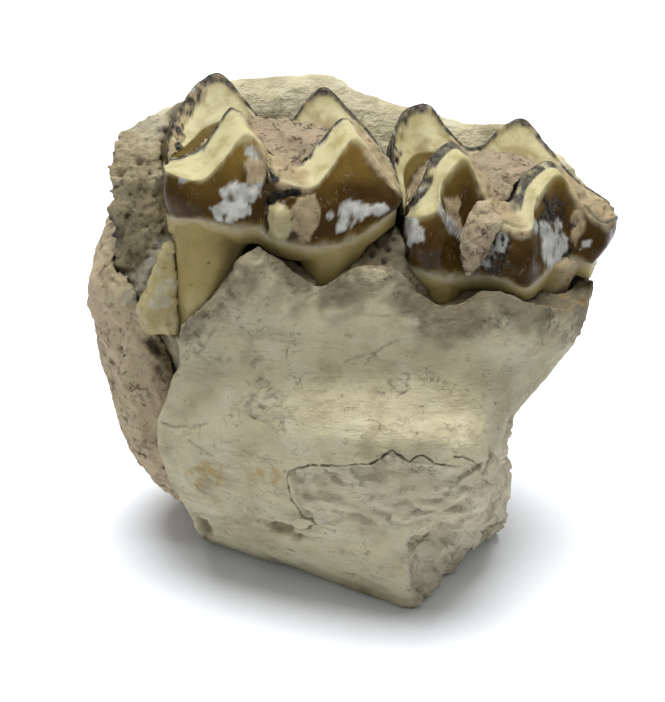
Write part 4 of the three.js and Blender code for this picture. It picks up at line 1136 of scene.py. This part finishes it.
    amount = 0.05 * layered(points, 1.6, seed + 9) + 0.02 * layered(points, 0.5, seed + 10)
    amount += np.where(facet, -0.16 * np.sin(np.pi * across_facet), 0)
    amount += 0.05 * deposit * (1 + layered(points, 0.5, seed + 11))
    amount += crust * (0.16 + 0.14 * layered(points, 0.7, seed + 12) + 0.25 * chips(points, 1.0, seed + 18))
    if marks["block"]:
        amount += 0.8 * bulge + 0.15 * block * layered(points, 1.4, seed + 13) - 0.5 * gap
        drawn = np.maximum(drawn, gap)
    amount -= 0.22 * (dark > 0.6) * zone["cheek wall"]
    push(obj, amount)
    modified(obj, "SMOOTH", factor=0.4, iterations=1)

    keep(obj, "dentine", np.maximum(dentine, 0.8 * block))
    keep(obj, "olive", 0.7 * olive)
    keep(obj, "amber", amber)
    keep(obj, "deposit", deposit * (1 - covered))
    keep(obj, "crust", crust)
    keep(obj, "dark", np.maximum.reduce([dark * (1 - 0.9 * covered), drawn,
                                         0.8 * covered * pits(points, 1.0, seed + 19, 0.14)]))
    neck = zone["under"] | (zone["cheek wall"] & (across < 0.001)) | (zone["tongue wall"] & (across > 0.95))
    keep(obj, "root", 1.0 * neck)
    finished(obj, node, material)
    return obj


def make_roots(node, name, lines, material):
    """The roots and neck under a crown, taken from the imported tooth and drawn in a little."""
    roots = copy_of(node, name)
    resurfaced(roots, ROOT_MESH, 8)
    points, normals = places(roots)
    order = np.argsort([p[0] for p in lines["neck cheek"]])
    cheek = np.array(lines["neck cheek"])[order]
    tongue = np.array(lines["neck tongue"])
    low = np.interp(points[:, 0], cheek[:, 0], cheek[:, 2])
    back = np.interp(points[:, 0], np.sort(tongue[:, 0]), tongue[np.argsort(tongue[:, 0]), 2])
    share = np.clip((points[:, 1] - 3) / 13, 0, 1)
    neck = (1 - share) * low + share * back
    above = points[:, 2] > neck + 0.6
    amount = -0.08 - 0.3 * smooth_step(-0.2, 0.5, points[:, 2] - neck) + 0.05 * layered(points, 2.0, 71)
    push(roots, amount)
    select_faces(roots, above)
    bpy.ops.mesh.delete(type="FACE")
    bpy.ops.mesh.select_all(action="SELECT")
    bpy.ops.mesh.fill_holes(sides=0)
    bpy.ops.mesh.normals_make_consistent(inside=False)
    bpy.ops.object.mode_set(mode="OBJECT")
    points, normals = places(roots)
    keep(roots, "root", np.ones(len(points)))
    keep(roots, "crust", smooth_step(18.5, 19.4, points[:, 0] + 0.5 * layered(points, 1.2, 74)))
    keep(roots, "dark", 0.8 * pits(points, 1.5, 73, 0.13))
    finished(roots, None, material)
    return roots


def make_lost_root(material):
    """What is left of a root of the tooth that stood in front."""
    stub = copy_of("lost_tooth_root", "lost_root")
    resurfaced(stub, STUB_MESH, 3)
    points, normals = places(stub)
    beside = smooth_step(0.2, 0.8, normals[:, 0])
    push(stub, 0.1 + 0.4 * beside + 0.1 * layered(points, 1.6, 81) + 0.2 * chips(points, 1.1, 82))
    keep(stub, "root", np.full(len(points), 0.45))
    keep(stub, "dark", 0.8 * pits(points, 1.3, 83, 0.14))
    keep(stub, "dentine", np.ones(len(points)))
    keep(stub, "deposit", 0.4 * smooth_step(0.2, 0.6, layered(points, 1.2, 84)))
    finished(stub, "lost_tooth_root", material)


# Stage

def add_stage():
    bpy.ops.mesh.primitive_plane_add(size=6, location=(0, 0, 0))
    floor = bpy.context.active_object
    floor.name = "floor"
    material, n, shader = new_material("white floor")
    shader.inputs["Base Color"].default_value = (0.9, 0.93, 0.98, 1)
    shader.inputs["Roughness"].default_value = 0.95
    shader.inputs["Specular IOR Level"].default_value = 0.0
    floor.data.materials.append(material)
    world = bpy.data.worlds.new("studio")
    world.use_nodes = True
    world.node_tree.nodes["Background"].inputs["Color"].default_value = (1, 1, 1, 1)
    world.node_tree.nodes["Background"].inputs["Strength"].default_value = 0.33
    bpy.context.scene.world = world
    bpy.context.scene.view_settings.view_transform = "Standard"


def add_light(name, place, aim, size, power):
    data = bpy.data.lights.new(name, "AREA")
    data.shape = "DISK"
    data.size = size
    data.energy = power
    light = bpy.data.objects.new(name, data)
    bpy.context.scene.collection.objects.link(light)
    turn = (Vector(aim) - Vector(place)).to_track_quat("-Z", "Y")
    light.matrix_world = Matrix.Translation(Vector(place)) @ turn.to_matrix().to_4x4()


add_camera()
add_stage()
add_light("key", (0.0, 0.12, 0.6), (0, 0, 0.02), 0.55, 7.1)

BONE = bone_material()
ROCK = rock_material()
TOOTH = tooth_material()

teeth = [
    make_crown("front_molar", "front_crown", FRONT_LINES, FRONT_MARKS, 101, TOOTH),
    make_crown("rear_molar", "rear_crown", REAR_LINES, REAR_MARKS, 201, TOOTH),
    make_roots("front_molar", "front_roots", FRONT_LINES, TOOTH),
    make_roots("rear_molar", "rear_roots", REAR_LINES, TOOTH),
]
make_lost_root(TOOTH)
make_bone(BONE, teeth)
make_rock(ROCK)
make_small("front_molar_fill", "front_valley_rock", ROCK, 0.12, 0.42)
make_small("rear_molar_fill", "rear_valley_rock", ROCK, 0.12, 0.42)
make_small("cheek_side_lump", "cheek_lump", ROCK, 0.14, 0.15)
